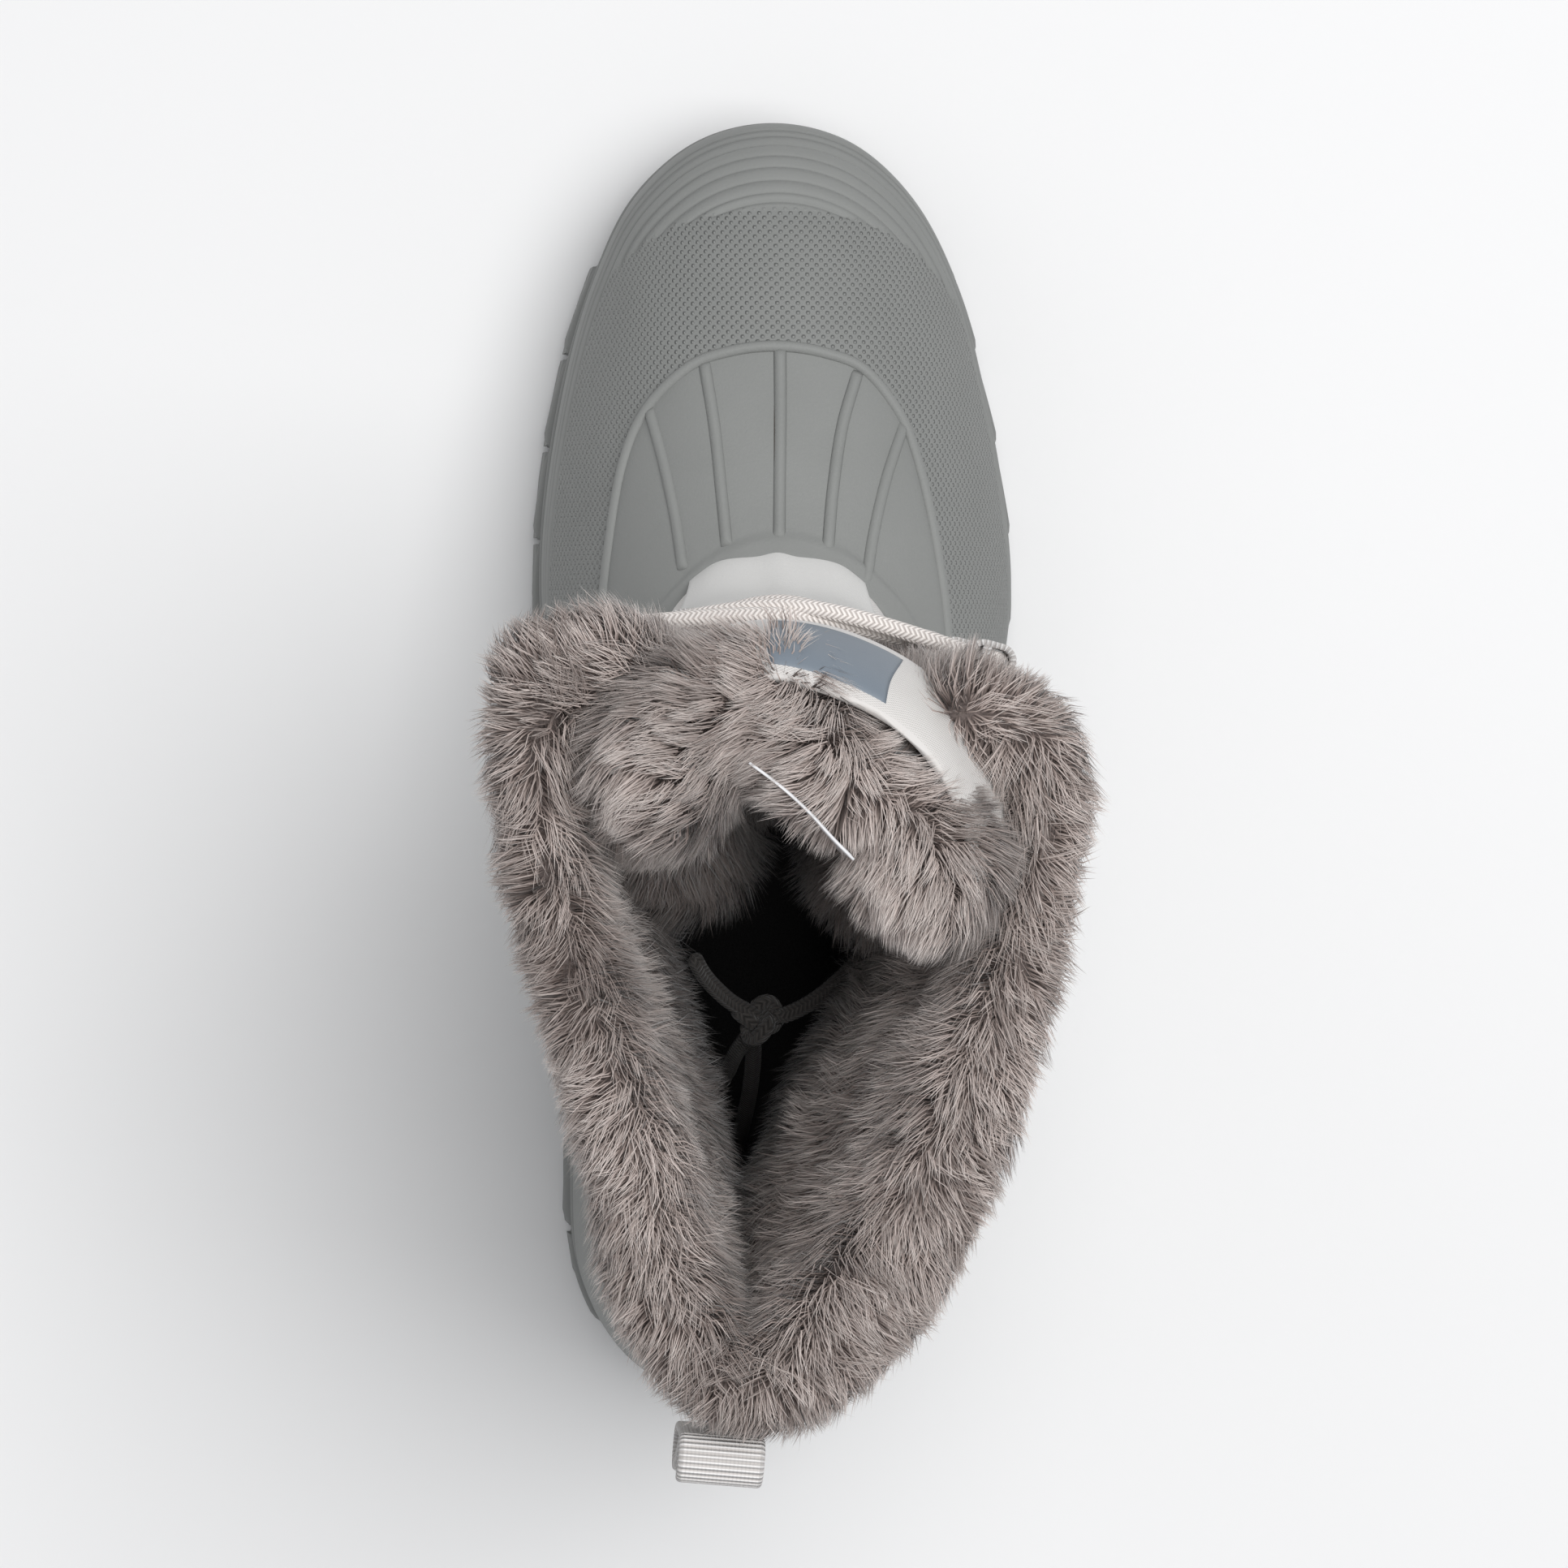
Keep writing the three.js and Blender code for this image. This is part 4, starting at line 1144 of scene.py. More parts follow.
def crease_depth(points):
    """Depth in millimetres: for each crease a trough over the distance from its line, with raised banks."""
    depth = 0.5 * waves(points, 70, 11) + 0.25 * waves(points, 26, 12)
    for side, y0, z0, y1, z1, width, deep in CREASES:
        start, stop = np.array([y0, z0]), np.array([y1, z1])
        line = stop - start
        share = np.clip(((points[..., 1:] - start) @ line) / (line @ line), 0, 1)
        away = np.linalg.norm(points[..., 1:] - start - share[..., None] * line, axis=-1)
        trough = np.exp(-((away / (0.5 * width)) ** 2))
        banks = 0.35 * np.exp(-(((away - width) / (0.5 * width)) ** 2))
        depth = depth + deep * (trough - banks) * (points[..., 0] * side > 0)
    return depth


def cloth_face(u, w, lift=0.0):
    """The cloth's outer face with its creases, and its outward direction; lift raises a layer on it."""
    face = shaft_face(u, w, 0.0)
    inwards = unit(shaft_face(u, w, 1.0) - face)
    strength = smooth_step(88, 104, face[..., 2])
    sink = 1.0 - 2.7 * (1 - strength) + crease_depth(face) * strength - lift
    return face + inwards * sink[..., None], -inwards


# %% The cloth of the shaft
def loop_map(row, heights):
    """A map in millimetres for a closed wall: x is the way round one of its rows, y is the height."""
    arc = distance_along(row)
    return np.stack(np.meshgrid(np.append(arc, arc[-1] + 1), heights), -1)


CLOTH_TOP = 0.955
cloth_w = np.linspace(0, CLOTH_TOP, 80)
cloth_share = np.linspace(0.002, 0.998, 140)
cloth_u = shaft_places(cloth_w, cloth_share)
cloth_outer, cloth_out = cloth_face(cloth_u, cloth_w)
shaft_loop, _ = wall_rings(cloth_outer, cloth_outer - cloth_out * 1.8, 0.0, 0.0, corner=3)
ankle_row = shaft_loop[44]
heel_column = cloth_outer[:, len(cloth_share) // 2]
cloth_map = loop_map(ankle_row, distance_along(heel_column))
finish_piece(add_loops("shaft_cloth", shaft_loop, cloth_map), NYLON, "nylon", "shaft")


# %% [markdown]
# Over the nylon lie pieces of smooth coated cloth: a facing on each side of the slot, a wide throat panel
# below it over the instep, and a stay down the heel. Each is a thin slab on the cloth's own face. Rows of
# stitches hold the facings and the stay; every stitch is the same small spindle, placed by arrays.


# %% Slabs and stitches
def slab_rings(face, normals, thickness):
    """A thin slab over a face (rows, columns): rings across it, with soft edges on all four sides."""
    rows, count = face.shape[:2]
    edge_c = np.minimum(np.arange(count), np.arange(count)[::-1])
    edge_r = np.minimum(np.arange(rows), np.arange(rows)[::-1])
    soft = np.minimum(smooth_step(-0.6, 1.2, edge_c)[None], smooth_step(-0.6, 1.2, edge_r)[:, None])
    top = face + normals * (thickness * soft)[..., None]
    under = face - normals * 0.35
    return np.concatenate([top, under[:, ::-1]], 1)


def stitch_line(line, normals, pitch=3.6, length=2.6, radius=0.34):
    """Spindles along a line on a face: a stack of rings for each stitch, thin at both ends."""
    arc = distance_along(line)
    starts = np.arange(pitch / 2, arc[-1] - pitch / 2, pitch)
    places = starts[:, None] + np.linspace(0, length, 5)
    spots = np.stack([np.interp(places, arc, line[:, k]) for k in range(3)], -1)
    out = unit(np.stack([np.interp(places, arc, normals[:, k]) for k in range(3)], -1))
    along = unit(spots[:, -1:] - spots[:, :1])
    side = np.cross(along, out)
    angle = np.linspace(0, 2 * math.pi, 5, endpoint=False)
    size = radius * np.array([0.3, 0.9, 1.0, 0.9, 0.3])
    lift = np.array([-0.2, 0.12, 0.2, 0.12, -0.2])
    spoke = np.cos(angle)[:, None] * side[:, :, None] + np.sin(angle)[:, None] * out[:, :, None]
    return (spots + out * lift[None, :, None])[:, :, None] + spoke * size[None, :, None, None]


SLAB = 0.9
STITCH_LIFT = 0.05
FACING_WIDTH = 15.0
PANEL_HALF = 46.0
STAY_HALF = 11.0
STAY_SLAB = 0.8
slabs, stitches = [], []
shaft_length = np.linalg.norm(np.diff(cloth_outer[:, ::3], axis=1), axis=-1).sum(1)


def level_of(z):
    """The level at which the slot's edge stands at a height."""
    heights = shaft_face(np.full((len(cloth_w), 1), 0.5), cloth_w, 0.0)[:, 0, 2]
    return float(np.interp(z, heights, cloth_w))


facing_w = np.linspace(level_of(117), CLOTH_TOP - 0.008, 70)
facing_share = (FACING_WIDTH / np.interp(facing_w, cloth_w, shaft_length))[:, None] * np.linspace(0, 1, 14)
STITCH_START = 9  # the facings' lowest rows lie under the throat panel
for side in (-1, 1):
    share = facing_share if side > 0 else 1 - facing_share[:, ::-1]
    face, out = cloth_face(shaft_places(facing_w, share), facing_w, 0.2)
    slabs.append(slab_rings(face, out, SLAB))
    seam = (face + out * (SLAB + STITCH_LIFT))[STITCH_START:]
    for k in ((1, 11) if side > 0 else (12, 2)):
        stitches.append(stitch_line(seam[:, k], out[STITCH_START:, k]))

panel_w = np.linspace(level_of(86), level_of(121), 36)
panel_half = PANEL_HALF / np.interp(panel_w, cloth_w, shaft_length)
panel_u = np.stack(slot_places(panel_w)).mean(0)[:, None] + panel_half[:, None] * np.linspace(-1, 1, 50)
face, out = cloth_face(panel_u, panel_w, 0.5)
fold = 0.9 * np.exp(-(((face[..., :1] - 3) / 3.0) ** 2)) * smooth_step(122, 108, face[..., 2:])
slabs.append(slab_rings(face + out * fold, out, SLAB))

stay_w = np.linspace(0.155, CLOTH_TOP - 0.01, 60)
slot_inner, slot_outer = slot_places(stay_w)
heel_share = (1.0 - slot_outer) / (1 + slot_inner - slot_outer)
stay_half = STAY_HALF / np.interp(stay_w, cloth_w, shaft_length)
stay_share = heel_share[:, None] + stay_half[:, None] * np.linspace(-1, 1, 14)
face, out = cloth_face(shaft_places(stay_w, stay_share), stay_w, 0.2)
slabs.append(slab_rings(face, out, STAY_SLAB))
seam = face + out * (STAY_SLAB + STITCH_LIFT)
stitches += [stitch_line(seam[:, k], out[:, k]) for k in (1, 12)]
finish_piece(add_stack("coated_panels", slabs), COATED, "nylon")

# %% The rolled edge at the top of the cloth, and the stitches
hem_u = shaft_places(np.array([CLOTH_TOP]), np.linspace(0, 1, 300))
hem_line, hem_out = cloth_face(hem_u, np.array([CLOTH_TOP]))
hem_route = even(hem_line[0] - hem_out[0] * 0.5, 1.6)
hem = add_tube("collar_hem", hem_route, np.array([0, 0, 1.0]), 1.5, sides=10)
finish_piece(hem, COATED, "nylon")
finish_piece(add_stack("stitches", list(np.concatenate(stitches))), THREAD, "nylon")

# %% [markdown]
# ## Deep pile
# The lining is faux fur. Particle hair doesn't leave Blender as a mesh, so every hair here is a narrow
# ribbon of three triangles: root, bend and tip. Roots are drawn at random over the wall's grid. Neighbours
# lean together in locks, and locks follow slow swirls, as pile does when a hand has brushed over it.


# %% Hair
def grid_normals(rings, middle):
    """Outward directions on a stack of closed rings."""
    around_step = np.roll(rings, -1, axis=1) - np.roll(rings, 1, axis=1)
    normals = unit(np.cross(around_step, np.gradient(rings, axis=0)))
    outwards = np.sum(normals * (rings - middle)) > 0
    return normals if outwards else -normals


def lock_numbers(root, random, size):
    """A number for each root's lock: cells of a warped lattice, so that neighbours share one."""
    warp = np.stack([waves(root, 3.1 * size, int(random.integers(1000)) + k) for k in range(3)], -1)
    cells = np.floor((root + 0.45 * size * warp) / size).astype(int)
    key = cells @ np.array([73856093, 19349663, 83492791])
    return np.unique(key, return_inverse=True)[1].ravel()


def lock_mean(values, locks):
    """Each root's lock's mean of values."""
    count = np.bincount(locks)
    sums = np.stack([np.bincount(locks, values[:, k]) for k in range(3)], -1)
    return (sums / count[:, None])[locks]


def sow(rings, weight, count, random):
    """Random spots on a stack of rings, closer together where weight is high. What comes back is a
    function that reads an array over the rings at those spots."""
    after = np.roll(rings, -1, axis=1)
    diagonals = np.cross(after[1:] - rings[:-1], rings[1:] - after[:-1])
    share = (np.linalg.norm(diagonals, axis=-1) * (weight[:-1] + weight[1:])).ravel()
    picks = np.searchsorted(np.cumsum(share), random.random(count) * share.sum())
    r, c = np.unravel_index(np.minimum(picks, share.size - 1), weight[:-1].shape)
    s, t = random.random((2, count, 1))
    n = (c + 1) % rings.shape[1]

    def at(values):
        low = values[r, c] * (1 - s) + values[r, n] * s
        return low * (1 - t) + (values[r + 1, c] * (1 - s) + values[r + 1, n] * s) * t

    return at


def comb(root, out, wish, lean, seed, lock_random, tuft_random, random):
    """Two directions for each hair, for its lower and its upper half: leaning the way of wish, with slow
    swirls, and much the same all through a lock."""
    count = len(root)
    down = unit(wish - out * np.sum(wish * out, 1, keepdims=True))
    across = np.cross(out, down)
    turn = 0.85 * waves(root, 48, seed + 1) + 0.55 * waves(root, 21, seed + 2)
    turn += 0.45 * (tuft_random[:, 0] - 0.5) + 0.8 * (lock_random[:, 0] - 0.5)
    turn += 0.28 * random.normal(size=count)
    tip_lean = lean + 0.3 * waves(root, 27, seed + 3) + 0.5 * (lock_random[:, 1] - 0.5)
    tip_lean += 0.18 * random.normal(size=count)
    flow = down * np.cos(turn)[:, None] + across * np.sin(turn)[:, None]

    def towards(angle):
        return out * np.cos(angle)[:, None] + flow * np.sin(angle)[:, None]

    return towards(np.clip(tip_lean - 0.35, 0.1, 1.3)), towards(np.clip(tip_lean + 0.4, 0.2, 1.62))


def gather(root, bend, tip, locks, strength):
    """Bends and tips drawn in towards the middle of their lock; strength is each tip's share of the way."""
    root_mean, tip_mean = lock_mean(root, locks), lock_mean(tip, locks)
    tip = tip + strength * (tip_mean + 0.25 * (root - root_mean) - tip)
    bend = bend + 0.35 * strength * (lock_mean(bend, locks) + 0.6 * (root - root_mean) - bend)
    return bend, tip


def ribbons(root, bend, tip, first, out, width, random):
    """Five corners for each hair, and the direction of its width: narrow, and turned a little at random."""
    count = len(root)
    spin = 0.55 * random.normal(size=(count, 1))
    flat = unit(np.cross(first, out + 0.001))
    flat = flat * np.cos(spin) + np.cross(first, flat) * np.sin(spin)
    flat *= np.sign(np.sum(np.cross(flat, first) * out, 1, keepdims=True))
    half = (width / 2 * (0.75 + 0.5 * random.random(count)))[:, None]
    low, high = flat * half, flat * half * 0.8
    return np.stack([root - low, root + low, bend + high, bend - high, tip], 1), flat


HAIRS = 63500
HAIR_WIDTH = 0.31
LOCK_SIZE, TUFT_SIZE = 4.2, 12.0


def grow_pile(name, rings, middle, weight, pile, seed, flow_of, lean=0.8, dim=(145, 226)):
    """Hair on a stack of rings: weight says how dense it is, pile how long, lean how far it lies over,
    and flow_of(roots) which way it lies. Below the heights in dim the pile is darkened as painted shade.
    Every hair is lit as the surface under it, so it looks soft."""
    random = np.random.default_rng(seed)
    at = sow(rings, weight, HAIRS, random)
    root, out = at(rings), unit(at(grid_normals(rings, middle)))
    locks, tufts = lock_numbers(root, random, LOCK_SIZE), lock_numbers(root, random, TUFT_SIZE)
    lock_random = random.random((locks.max() + 1, 4))[locks]
    tuft_random = random.random((tufts.max() + 1, 3))[tufts]
    first, second = comb(root, out, flow_of(root), lean, seed, lock_random, tuft_random, random)
    length = at(pile[..., None])[:, 0] * (0.86 + 0.3 * random.random(HAIRS))
    length *= 0.9 + 0.25 * tuft_random[:, 1]
    length *= np.where(random.random(HAIRS) < 0.22, 0.62, 1.0)
    bend = root + first * (0.48 * length)[:, None]
    tip = bend + second * (0.52 * length)[:, None]
    bend, tip = gather(root, bend, tip, locks, (0.3 + 0.35 * lock_random[:, 2])[:, None])
    points, flat = ribbons(root, bend, tip, first, out, HAIR_WIDTH, random)
    first_corner = 5 * np.arange(HAIRS)[:, None]
    faces = [first_corner + np.array([0, 1, 2, 3]), first_corner + np.array([3, 2, 4])]
    tone = 0.6 + 0.6 * waves(root, 30, seed + 4) + 0.45 * (lock_random[:, 3] - 0.5)
    tone += 0.5 * (random.random(HAIRS) - 0.5)
    # Painted shade: the tone drops below the heights in dim, a little more on the outer side.
    tone -= 0.9 * (1 - smooth_step(*dim, root[:, 2])) * (0.85 + 0.15 * smooth_step(-10, 8, root[:, 0]))
    along = np.tile([0.0, 0.0, 0.5, 0.5, 1.0], (HAIRS, 1))
    attributes = {"along": along, "tone": np.repeat(np.clip(tone, 0, 1), 5)}
    hair = add_mesh(name, points.reshape(-1, 3), faces, None, attributes)
    ribbon = unit(np.cross(flat, tip - root))
    ribbon *= np.sign(np.sum(ribbon * out, 1, keepdims=True))
    light = unit(0.75 * out + 0.35 * ribbon + 0.22 * random.normal(size=(HAIRS, 3)))
    hair.data.normals_split_custom_set_from_vertices(np.repeat(light, 5, axis=0))
    print(name, len(np.unique(locks)), "locks")
    return finish_piece(hair, PILE, "fur")


# %% The lining's thickness
def lining_swell(inner):
    """How far the pile's ground stands in past the wall's inner face: deep above the ankle round the heel,
    more on the outer side, little at the collar and nothing in the foot."""
    x, y, z = np.moveaxis(inner, -1, 0)
    level = smooth_step(105, 150, z) * (1 - 0.75 * smooth_step(195, 236, z))
    outer_side = smooth_step(-14, 8, x)
    strong = 4.0 + 11.5 * outer_side
    rear = 1 - smooth_step(26 + 4 * outer_side, 88, y)
    return level * rear * strong


def collar_flow(root):
    """The way the pile lies: down and back along the boot, and forward on the collar's two front ends."""
    front = smooth_step(106, 126, root[:, 1])
    back_or_front = -0.85 + 1.6 * front
    aside = unit((root - np.array([-2, 60, 0])) * np.array([1, 0.5, 0]))
    return np.column_stack([0.3 * aside[:, 0], back_or_front + 0.3 * aside[:, 1], np.full(len(root), -0.7)])


# %% The collar and the lining
LINING_PILE = 11.5
COLLAR_PILE = 9.0
lining_w = np.concatenate([np.linspace(0.02, 0.5, 16), np.linspace(0.53, 1.0, 26)])
lining_share = np.linspace(0.012, 0.988, 170)
lining_u = shaft_places(lining_w, lining_share)
lining_outer, lining_inner = shaft_face(lining_u, lining_w, 0.0), shaft_face(lining_u, lining_w, 1.0)
thick = np.linalg.norm(lining_inner - lining_outer, axis=-1, keepdims=True)
near_top = smooth_step(0.84, 1.0, lining_w)[:, None, None]
inner_front = smooth_step(0.88, 0.96, lining_share)[None, :, None]
skin_out = np.minimum(4.0 - near_top * (1.2 + 5.5 * inner_front), 0.5 * thick)
skin_in = np.clip(0.42 * thick, 2.0, 6.5) - 4.5 * near_top - lining_swell(lining_inner)[..., None]
lining, lining_core = wall_rings(lining_outer, lining_inner, skin_out, skin_in)
lining, lining_core = cap_rings(lining, lining_core, 5.5)
finish_piece(add_loops("lining_backing", lining), BACKING, "fur")

outside_count = len(lining_share)
lining_places = np.concatenate([lining_w, np.full(len(lining) - len(lining_w), 1.0)])[:, None]
lining_z = lining[..., 2]
lining_weight = (0.04 + 0.96 * smooth_step(125, 178, lining_z)) * smooth_step(112, 124, lining_z)
lining_weight[:, :outside_count] = smooth_step(0.915, 0.97, lining_places)
front_strip = np.zeros((1, lining.shape[1]), dtype=bool)
front_strip[:, :4] = front_strip[:, outside_count - 4:outside_count + 5] = front_strip[:, -5:] = True
front_weight = 1.2 * smooth_step(128, 160, lining_z)
lining_weight = np.where(front_strip, np.maximum(front_weight, lining_weight), lining_weight)
lining_pile = np.full(lining.shape[:2], LINING_PILE)
lining_pile[:, :outside_count] = COLLAR_PILE
for name, seed in (("collar_pile_a", 21), ("collar_pile_b", 22)):
    # The collar's pile gets painted shade below the default heights in dim.
    grow_pile(name, lining, lining_core, lining_weight, lining_pile, seed, collar_flow)

# %% [markdown]
# ## The tongue
# The tongue curls round the shin, so its top shows as a thick roll of pile with nylon outside. Its rows are
# ellipses, each with the part of the turn that it covers. Pile hangs over the nylon's upper edge.

# %% The tongue's sections
TONGUE_COLUMNS = "z x front wide deep start stop thick skew".split()
TONGUE_ROWS = [
    [86, 3, 130, 25, 26, 38, 142, 7, 0],
    [108, 3, 125, 27, 28, 25, 155, 9, 0],
    [138, 2, 124, 29, 30, -8, 188, 17, 0],
    [168, 0, 126.5, 33, 34, -28, 200, 23, 0.02],
    [200, 0, 132, 40, 37, -24, 184, 25, 0.07],
    [224, 0.5, 135, 42.5, 38, -28, 180, 27, 0.1],
    [245, -2, 129.5, 39, 34, -26, 178, 25, 0.18],
]
TONGUE = [dict(zip(TONGUE_COLUMNS, row)) for row in TONGUE_ROWS]
TONGUE_CREST = dict(zip(TONGUE_COLUMNS, [254, -2, 119, 33, 26, -24, 172, 14, 0.2]))


def tongue_row(row, share, depth, trim):
    """One section: an arc of an ellipse, depth in from its outside, with trim degrees off each end."""
    angle = np.radians(row["start"] + trim + (row["stop"] - row["start"] - 2 * trim) * share)
    x = row["x"] + (row["wide"] - depth) * np.cos(angle)
    y = row["front"] - row["deep"] + (row["deep"] - depth) * np.sin(angle)
    return np.stack([x, y - row["skew"] * x, np.full_like(x, row["z"])], -1)


def tongue_face(share, w, inner, trim=0.0, crest=False):
    """The tongue's outer or inner face at shares of its turn and levels w; crest adds the last row."""
    table = TONGUE + [TONGUE_CREST] * crest
    rows = [tongue_row(row, share, row["thick"] if inner else 0.0, trim) for row in table]
    return between(np.stack(rows), w)


CLOTH_TRIM, PILE_TRIM = 3.0, 7.0  # degrees off each end of the turn


def tongue_cloth_face(share, w):
    """The nylon's outer face, a little uneven, and the direction into the tongue."""
    face = tongue_face(share, w, False, CLOTH_TRIM, True)
    inwards = unit(tongue_face(share, w, True, CLOTH_TRIM, True) - face)
    return face + inwards * (0.8 + 0.35 * waves(face, 34, 31))[..., None], inwards


tongue_share = np.linspace(0, 1, 120)
front_w = np.linspace(0, 0.94, 60)
front_outer, front_in = tongue_cloth_face(tongue_share, front_w)
front_loop, _ = wall_rings(front_outer, front_outer + front_in * 1.6, 0.0, 0.0, corner=3)
front_heights = np.linspace(0, TONGUE_CREST["z"] - TONGUE[0]["z"], len(front_w))
widest_row = front_loop[40]
front_map = loop_map(widest_row, front_heights)
finish_piece(add_loops("tongue_cloth", front_loop, front_map), NYLON, "nylon", "tongue")

# %% The tongue's pile
def tongue_flow(root):
    """The tongue's pile lies back and down; it turns outwards on the inner half and at the nylon's rim."""
    aside = unit((root - np.array([0, 98, 0])) * np.array([1, 1, 0]))
    inner = 1 - smooth_step(-16, 4, root[:, 0])
    rim = smooth_step(0, 16, root[:, 0]) * smooth_step(226, 242, root[:, 2])
    return np.column_stack([(0.8 * inner + 0.5 * rim) * aside[:, 0] - 0.25,
                            (0.25 * inner + 0.8 * rim) * aside[:, 1] - 0.8,
                            np.full(len(root), -0.5)])


roll_w = np.linspace(0.03, 1.0, 46)
roll_outer = tongue_face(tongue_share, roll_w, False, PILE_TRIM)
roll_inner = tongue_face(tongue_share, roll_w, True, PILE_TRIM)
thick = np.linalg.norm(roll_inner - roll_outer, axis=-1, keepdims=True)
near_top = smooth_step(0.84, 1.0, roll_w)[:, None, None]
crescent = smooth_step(0.1, 0.26, tongue_share) * (1 - smooth_step(0.40, 0.64, tongue_share))
swell = np.exp(-(((tongue_share - 0.42) / 0.22) ** 2))[None, :, None]
skin_out = np.minimum(3.2 + near_top * (2.0 + 9.0 * crescent[None, :, None]), 0.62 * thick)
skin_in = np.clip(0.3 * thick, 1.5, 4.0) - 8.0 * swell * smooth_step(0.55, 0.9, roll_w)[:, None, None]
roll, roll_core = wall_rings(roll_outer, roll_inner, skin_out, skin_in)
roll, roll_core = cap_rings(roll, roll_core, 7.0)
finish_piece(add_loops("tongue_backing", roll), BACKING, "fur")

roll_z = roll[..., 2]
roll_places = np.concatenate([roll_w, np.full(len(roll) - len(roll_w), 1.0)])[:, None]
roll_weight = (0.1 + 0.9 * smooth_step(140, 200, roll_z)) * smooth_step(112, 124, roll_z)
overhang = 1 - crescent[None]  # where the pile hangs over the nylon's edge; the crescent shows nylon
long_rim, short_rim = smooth_step(0.93, 0.985, roll_places), smooth_step(0.965, 0.995, roll_places)
roll_weight[:, :len(tongue_share)] = long_rim * overhang + (1 - overhang) * short_rim
roll_pile = 12.0 + 4.0 * (1 - smooth_step(180, 215, roll_z))
# The tongue's pile gets painted shade below 196 to 232 mm.
grow_pile("tongue_pile", roll, roll_core, roll_weight, roll_pile, 33, tongue_flow, lean=0.7, dim=(196, 232))

# %% The blank patch and label
patch_w = np.linspace(0.75, 0.915, 18)
patch_share = np.linspace(0.425, 0.61, 24)
patch_face, patch_in = tongue_cloth_face(patch_share, patch_w)
patch = add_stack("front_patch", [slab_rings(patch_face, -patch_in, 0.5)])
finish_piece(patch, PATCH, "nylon")

label_line = line_through([[-11, 107], [-5, 102.5], [0.5, 97.5], [5, 92.5], [9, 88.5]], 1.0)
label_z = np.linspace(228, 257, 10)
label_face = np.stack([np.column_stack([label_line, np.full(len(label_line), z)]) for z in label_z])
label_run = unit(np.gradient(label_line, axis=0))
label_side = np.column_stack([-label_run[:, 1], label_run[:, 0], np.zeros(len(label_line))])
label_out = np.tile(label_side, (len(label_z), 1, 1))
label = add_stack("inner_label", [slab_rings(label_face, label_out, 0.35)])
finish_piece(label, LABEL, "nylon")

# %% [markdown]
# ## Lacing
# The lace runs over the throat, through folded webbing loops on alternate sides, and ends at the top pair.
# The loops and the pull loop at the heel are flat ovals of webbing: a thin section carried round an oval.

# %% Lace crossings
LACE_LOOPS = [  # z, then x and y of the hole on the inner and on the outer side
    [140, -18, 133.9, 23, 131.9],
    [163, -25, 132.6, 29, 129.4],
    [186, -32, 132.6, 35, 127.4],
    [209, -38, 133.2, 39, 126.8],
]
HOLES = {
    "inner": np.array([[x, y, z] for z, x, y, _, _ in LACE_LOOPS]),
    "outer": np.array([[x, y, z] for z, _, _, x, y in LACE_LOOPS]),
}


def strand_route(first):
    """One strand: from the bar over the throat, up through the loops of alternate sides."""
    points, side = [[3, 136.8, 127.5]], first
    forward = 4.4 if first == "inner" else 2
    other = {"inner": "outer", "outer": "inner"}
    for i in range(len(LACE_LOOPS)):
        hole = HOLES[side][i]
        if i > 0:
            last = HOLES[other[side]][i - 1]
            points.append([2, max(last[1], hole[1]) + forward, (last[2] + hole[2]) / 2])
        points += [hole - [0, 0, 5], hole + [0, 0, 5]]
        side = other[side]
    return line_through(points, 1.1)


for first in ("inner", "outer"):
    lace = add_tube(f"lace_strand_{first}", strand_route(first), np.array([0, 1.0, 0]), LACE_RADIUS)
    finish_piece(lace, LACE, "cord", "lace_crossings")


# %% Webbing loops
def oval(length, depth, count=64):
    """An oval with straight sides and round ends, as points in its own plane."""
    radius = depth / 2
    straight = length / 2 - radius
    turn = np.linspace(-math.pi / 2, math.pi / 2, count // 2)
    right = np.column_stack([straight + radius * np.cos(turn), radius * np.sin(turn)])
    return np.concatenate([even(np.concatenate([-right[-1:] * [1, -1], right]), 0.8), -right])


def band_rings(line, across, width, thickness):
    """A flat section with rounded edges carried round a closed line; across is the ribbon's width."""
    along = unit(np.roll(line, -1, axis=0) - np.roll(line, 1, axis=0))
    out = np.cross(along, across)
    half_w, half_t = width / 2, thickness / 2
    flat = np.linspace(-1, 1, 9) * (half_w - half_t)
    bend = np.radians([60, 30, 0, -30, -60])
    top = np.column_stack([flat, np.full(9, half_t)])
    right = np.column_stack([half_w - half_t + half_t * np.cos(bend), half_t * np.sin(bend)])
    section = np.concatenate([top, right, -top, -right])
    return line[:, None] + section[:, :1] * across + section[None, :, 1:] * out[:, None]


def add_band(name, line, across, width, thickness):
    rings = band_rings(line, across, width, thickness)
    step = np.linalg.norm(np.roll(line, -1, axis=0) - line, axis=1)
    lengths = np.concatenate([[0], np.cumsum(step)])
    section = np.linspace(0, 2 * (width + thickness), rings.shape[1] + 1)
    return add_loops(name, rings, np.stack(np.meshgrid(section, lengths), -1), closed=True)


def turned(points, degrees):
    """Points turned about the upright axis."""
    c, s = math.cos(math.radians(degrees)), math.sin(math.radians(degrees))
    return points @ np.array([[c, s, 0], [-s, c, 0], [0, 0, 1]])


LOOP_LENGTH, LOOP_DEPTH, LOOP_WIDTH, LOOP_THICKNESS = 10, 6.9, 9, 1.3
for side, turn in (("inner", 5), ("outer", -15)):
    for i, hole in enumerate(HOLES[side], 1):
        flat = oval(LOOP_LENGTH - LOOP_THICKNESS, LOOP_DEPTH - LOOP_THICKNESS)
        line = turned(np.column_stack([flat, np.zeros(len(flat))]), turn) + hole
        loop = add_band(f"webbing_loop_{side}_{i}", line, np.array([0, 0, 1.0]), LOOP_WIDTH, LOOP_THICKNESS)
        finish_piece(loop, WEBBING, "webbing", f"lace_loop_{side}_{i}")

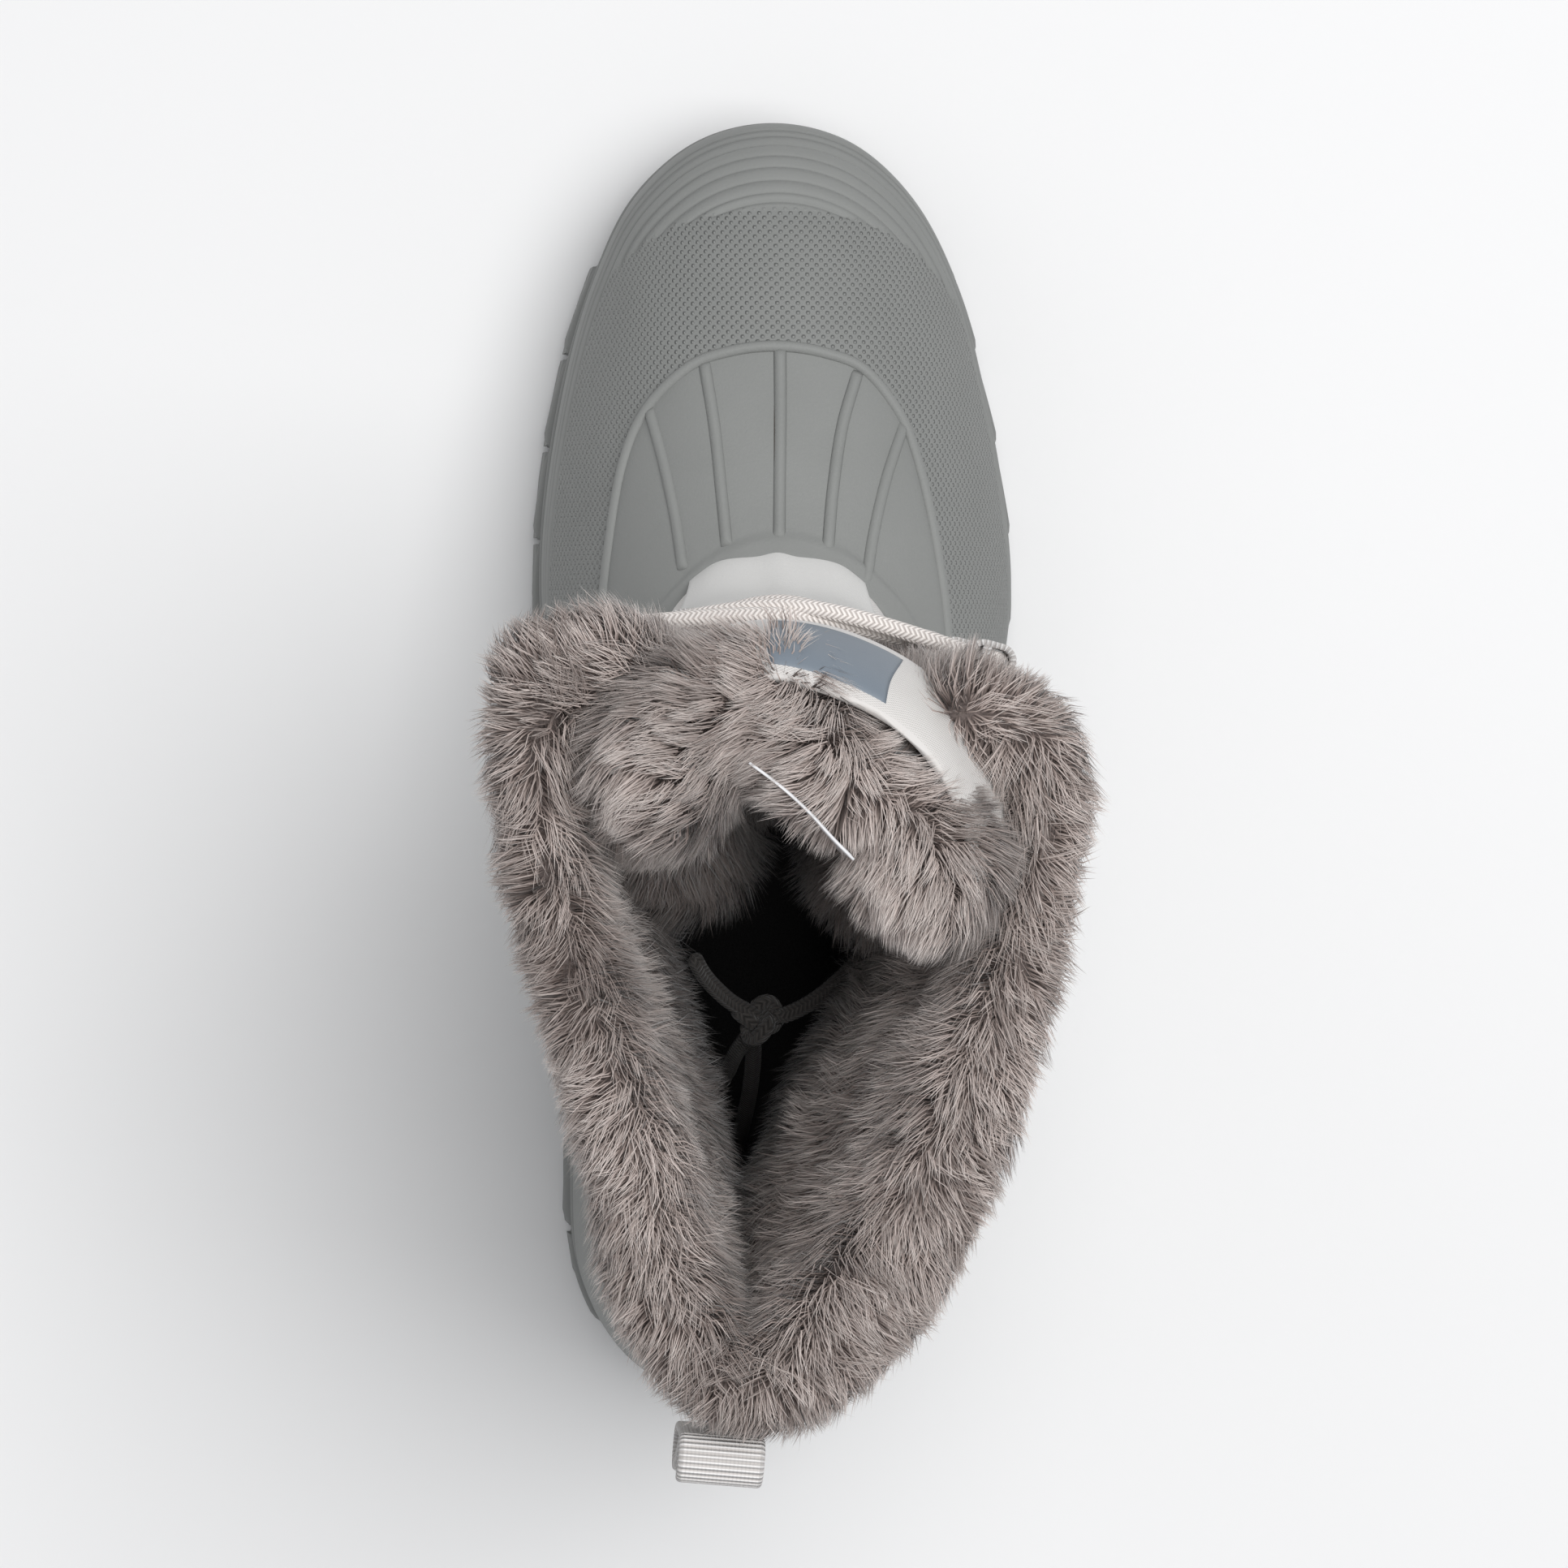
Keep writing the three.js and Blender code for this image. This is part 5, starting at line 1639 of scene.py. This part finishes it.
# %% The pull loop
PULL_LENGTH, PULL_DEPTH, PULL_WIDTH, PULL_THICKNESS = 28, 10, 17, 1.8
PULL_PLACE = np.array([-15, -30.6, 211])
PULL_TURN = -5
flat = oval(PULL_LENGTH - PULL_THICKNESS, PULL_DEPTH - PULL_THICKNESS)
upright = np.column_stack([np.zeros(len(flat)), flat[:, 1], -flat[:, 0]])
pull_line = turned(upright, PULL_TURN) + PULL_PLACE
pull_across = turned(np.array([[1.0, 0, 0]]), PULL_TURN)[0]
pull = add_band("pull_loop_webbing", pull_line, pull_across, PULL_WIDTH, PULL_THICKNESS)
finish_piece(pull, WEBBING, "webbing", "pull_loop")

# %% [markdown]
# ## Floor and light
# A plain pale floor, one big soft light above the toe's outer side and a weaker one opposite it.

# %% Floor
floor_material, floor_shader = new_material("floor", 0.9, specular=0.1)
floor_shader.inputs["Base Color"].default_value = (0.86, 0.86, 0.86, 1)
FLOOR_HALF, FLOOR_Z = 3000.0, -0.2
corners = ((-1, -1), (1, -1), (1, 1), (-1, 1))
floor_points = np.array([[x * FLOOR_HALF, y * FLOOR_HALF, FLOOR_Z] for x, y in corners])
floor = add_mesh("floor", floor_points, [np.array([[0, 1, 2, 3]])])
floor.data.materials.append(floor_material)
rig.stage(floor)


# %% Lights
def add_light(name, place, target, size, power):
    """A square soft light at a place in metres, facing a target."""
    light = bpy.data.objects.new(name, bpy.data.lights.new(name, "AREA"))
    light.data.size = size
    light.data.energy = power
    light.matrix_world = facing(Vector(place), Vector(target))
    bpy.context.scene.collection.objects.link(light)


BOOT_MIDDLE = (0, 0.1, 0.1)
add_light("key", (0.45, 0.35, 2.1), BOOT_MIDDLE, 1.4, 38)
add_light("fill", (-1.3, 0.5, 1.7), BOOT_MIDDLE, 1.4, 2.5)
world = bpy.data.worlds.new("world")
world.use_nodes = True
world.node_tree.nodes["Background"].inputs["Color"].default_value = (0.96, 0.97, 1.0, 1)
world.node_tree.nodes["Background"].inputs["Strength"].default_value = 0.36
bpy.context.scene.world = world
bpy.context.scene.view_settings.view_transform = "Standard"

# %% Sizes
added = [piece.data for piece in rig.pieces() if "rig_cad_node" not in piece]
triangles = sum(len(mesh.loops) - 2 * len(mesh.polygons) for mesh in added)
print("triangles added:", triangles)
visual_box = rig.bounds()
sizes = {
    "cad": [list(map(float, corner)) for corner in cad_box],
    "visual": [list(map(float, corner)) for corner in visual_box],
}
with open("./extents.json", "w") as file:
    json.dump(sizes, file)
print(sizes)
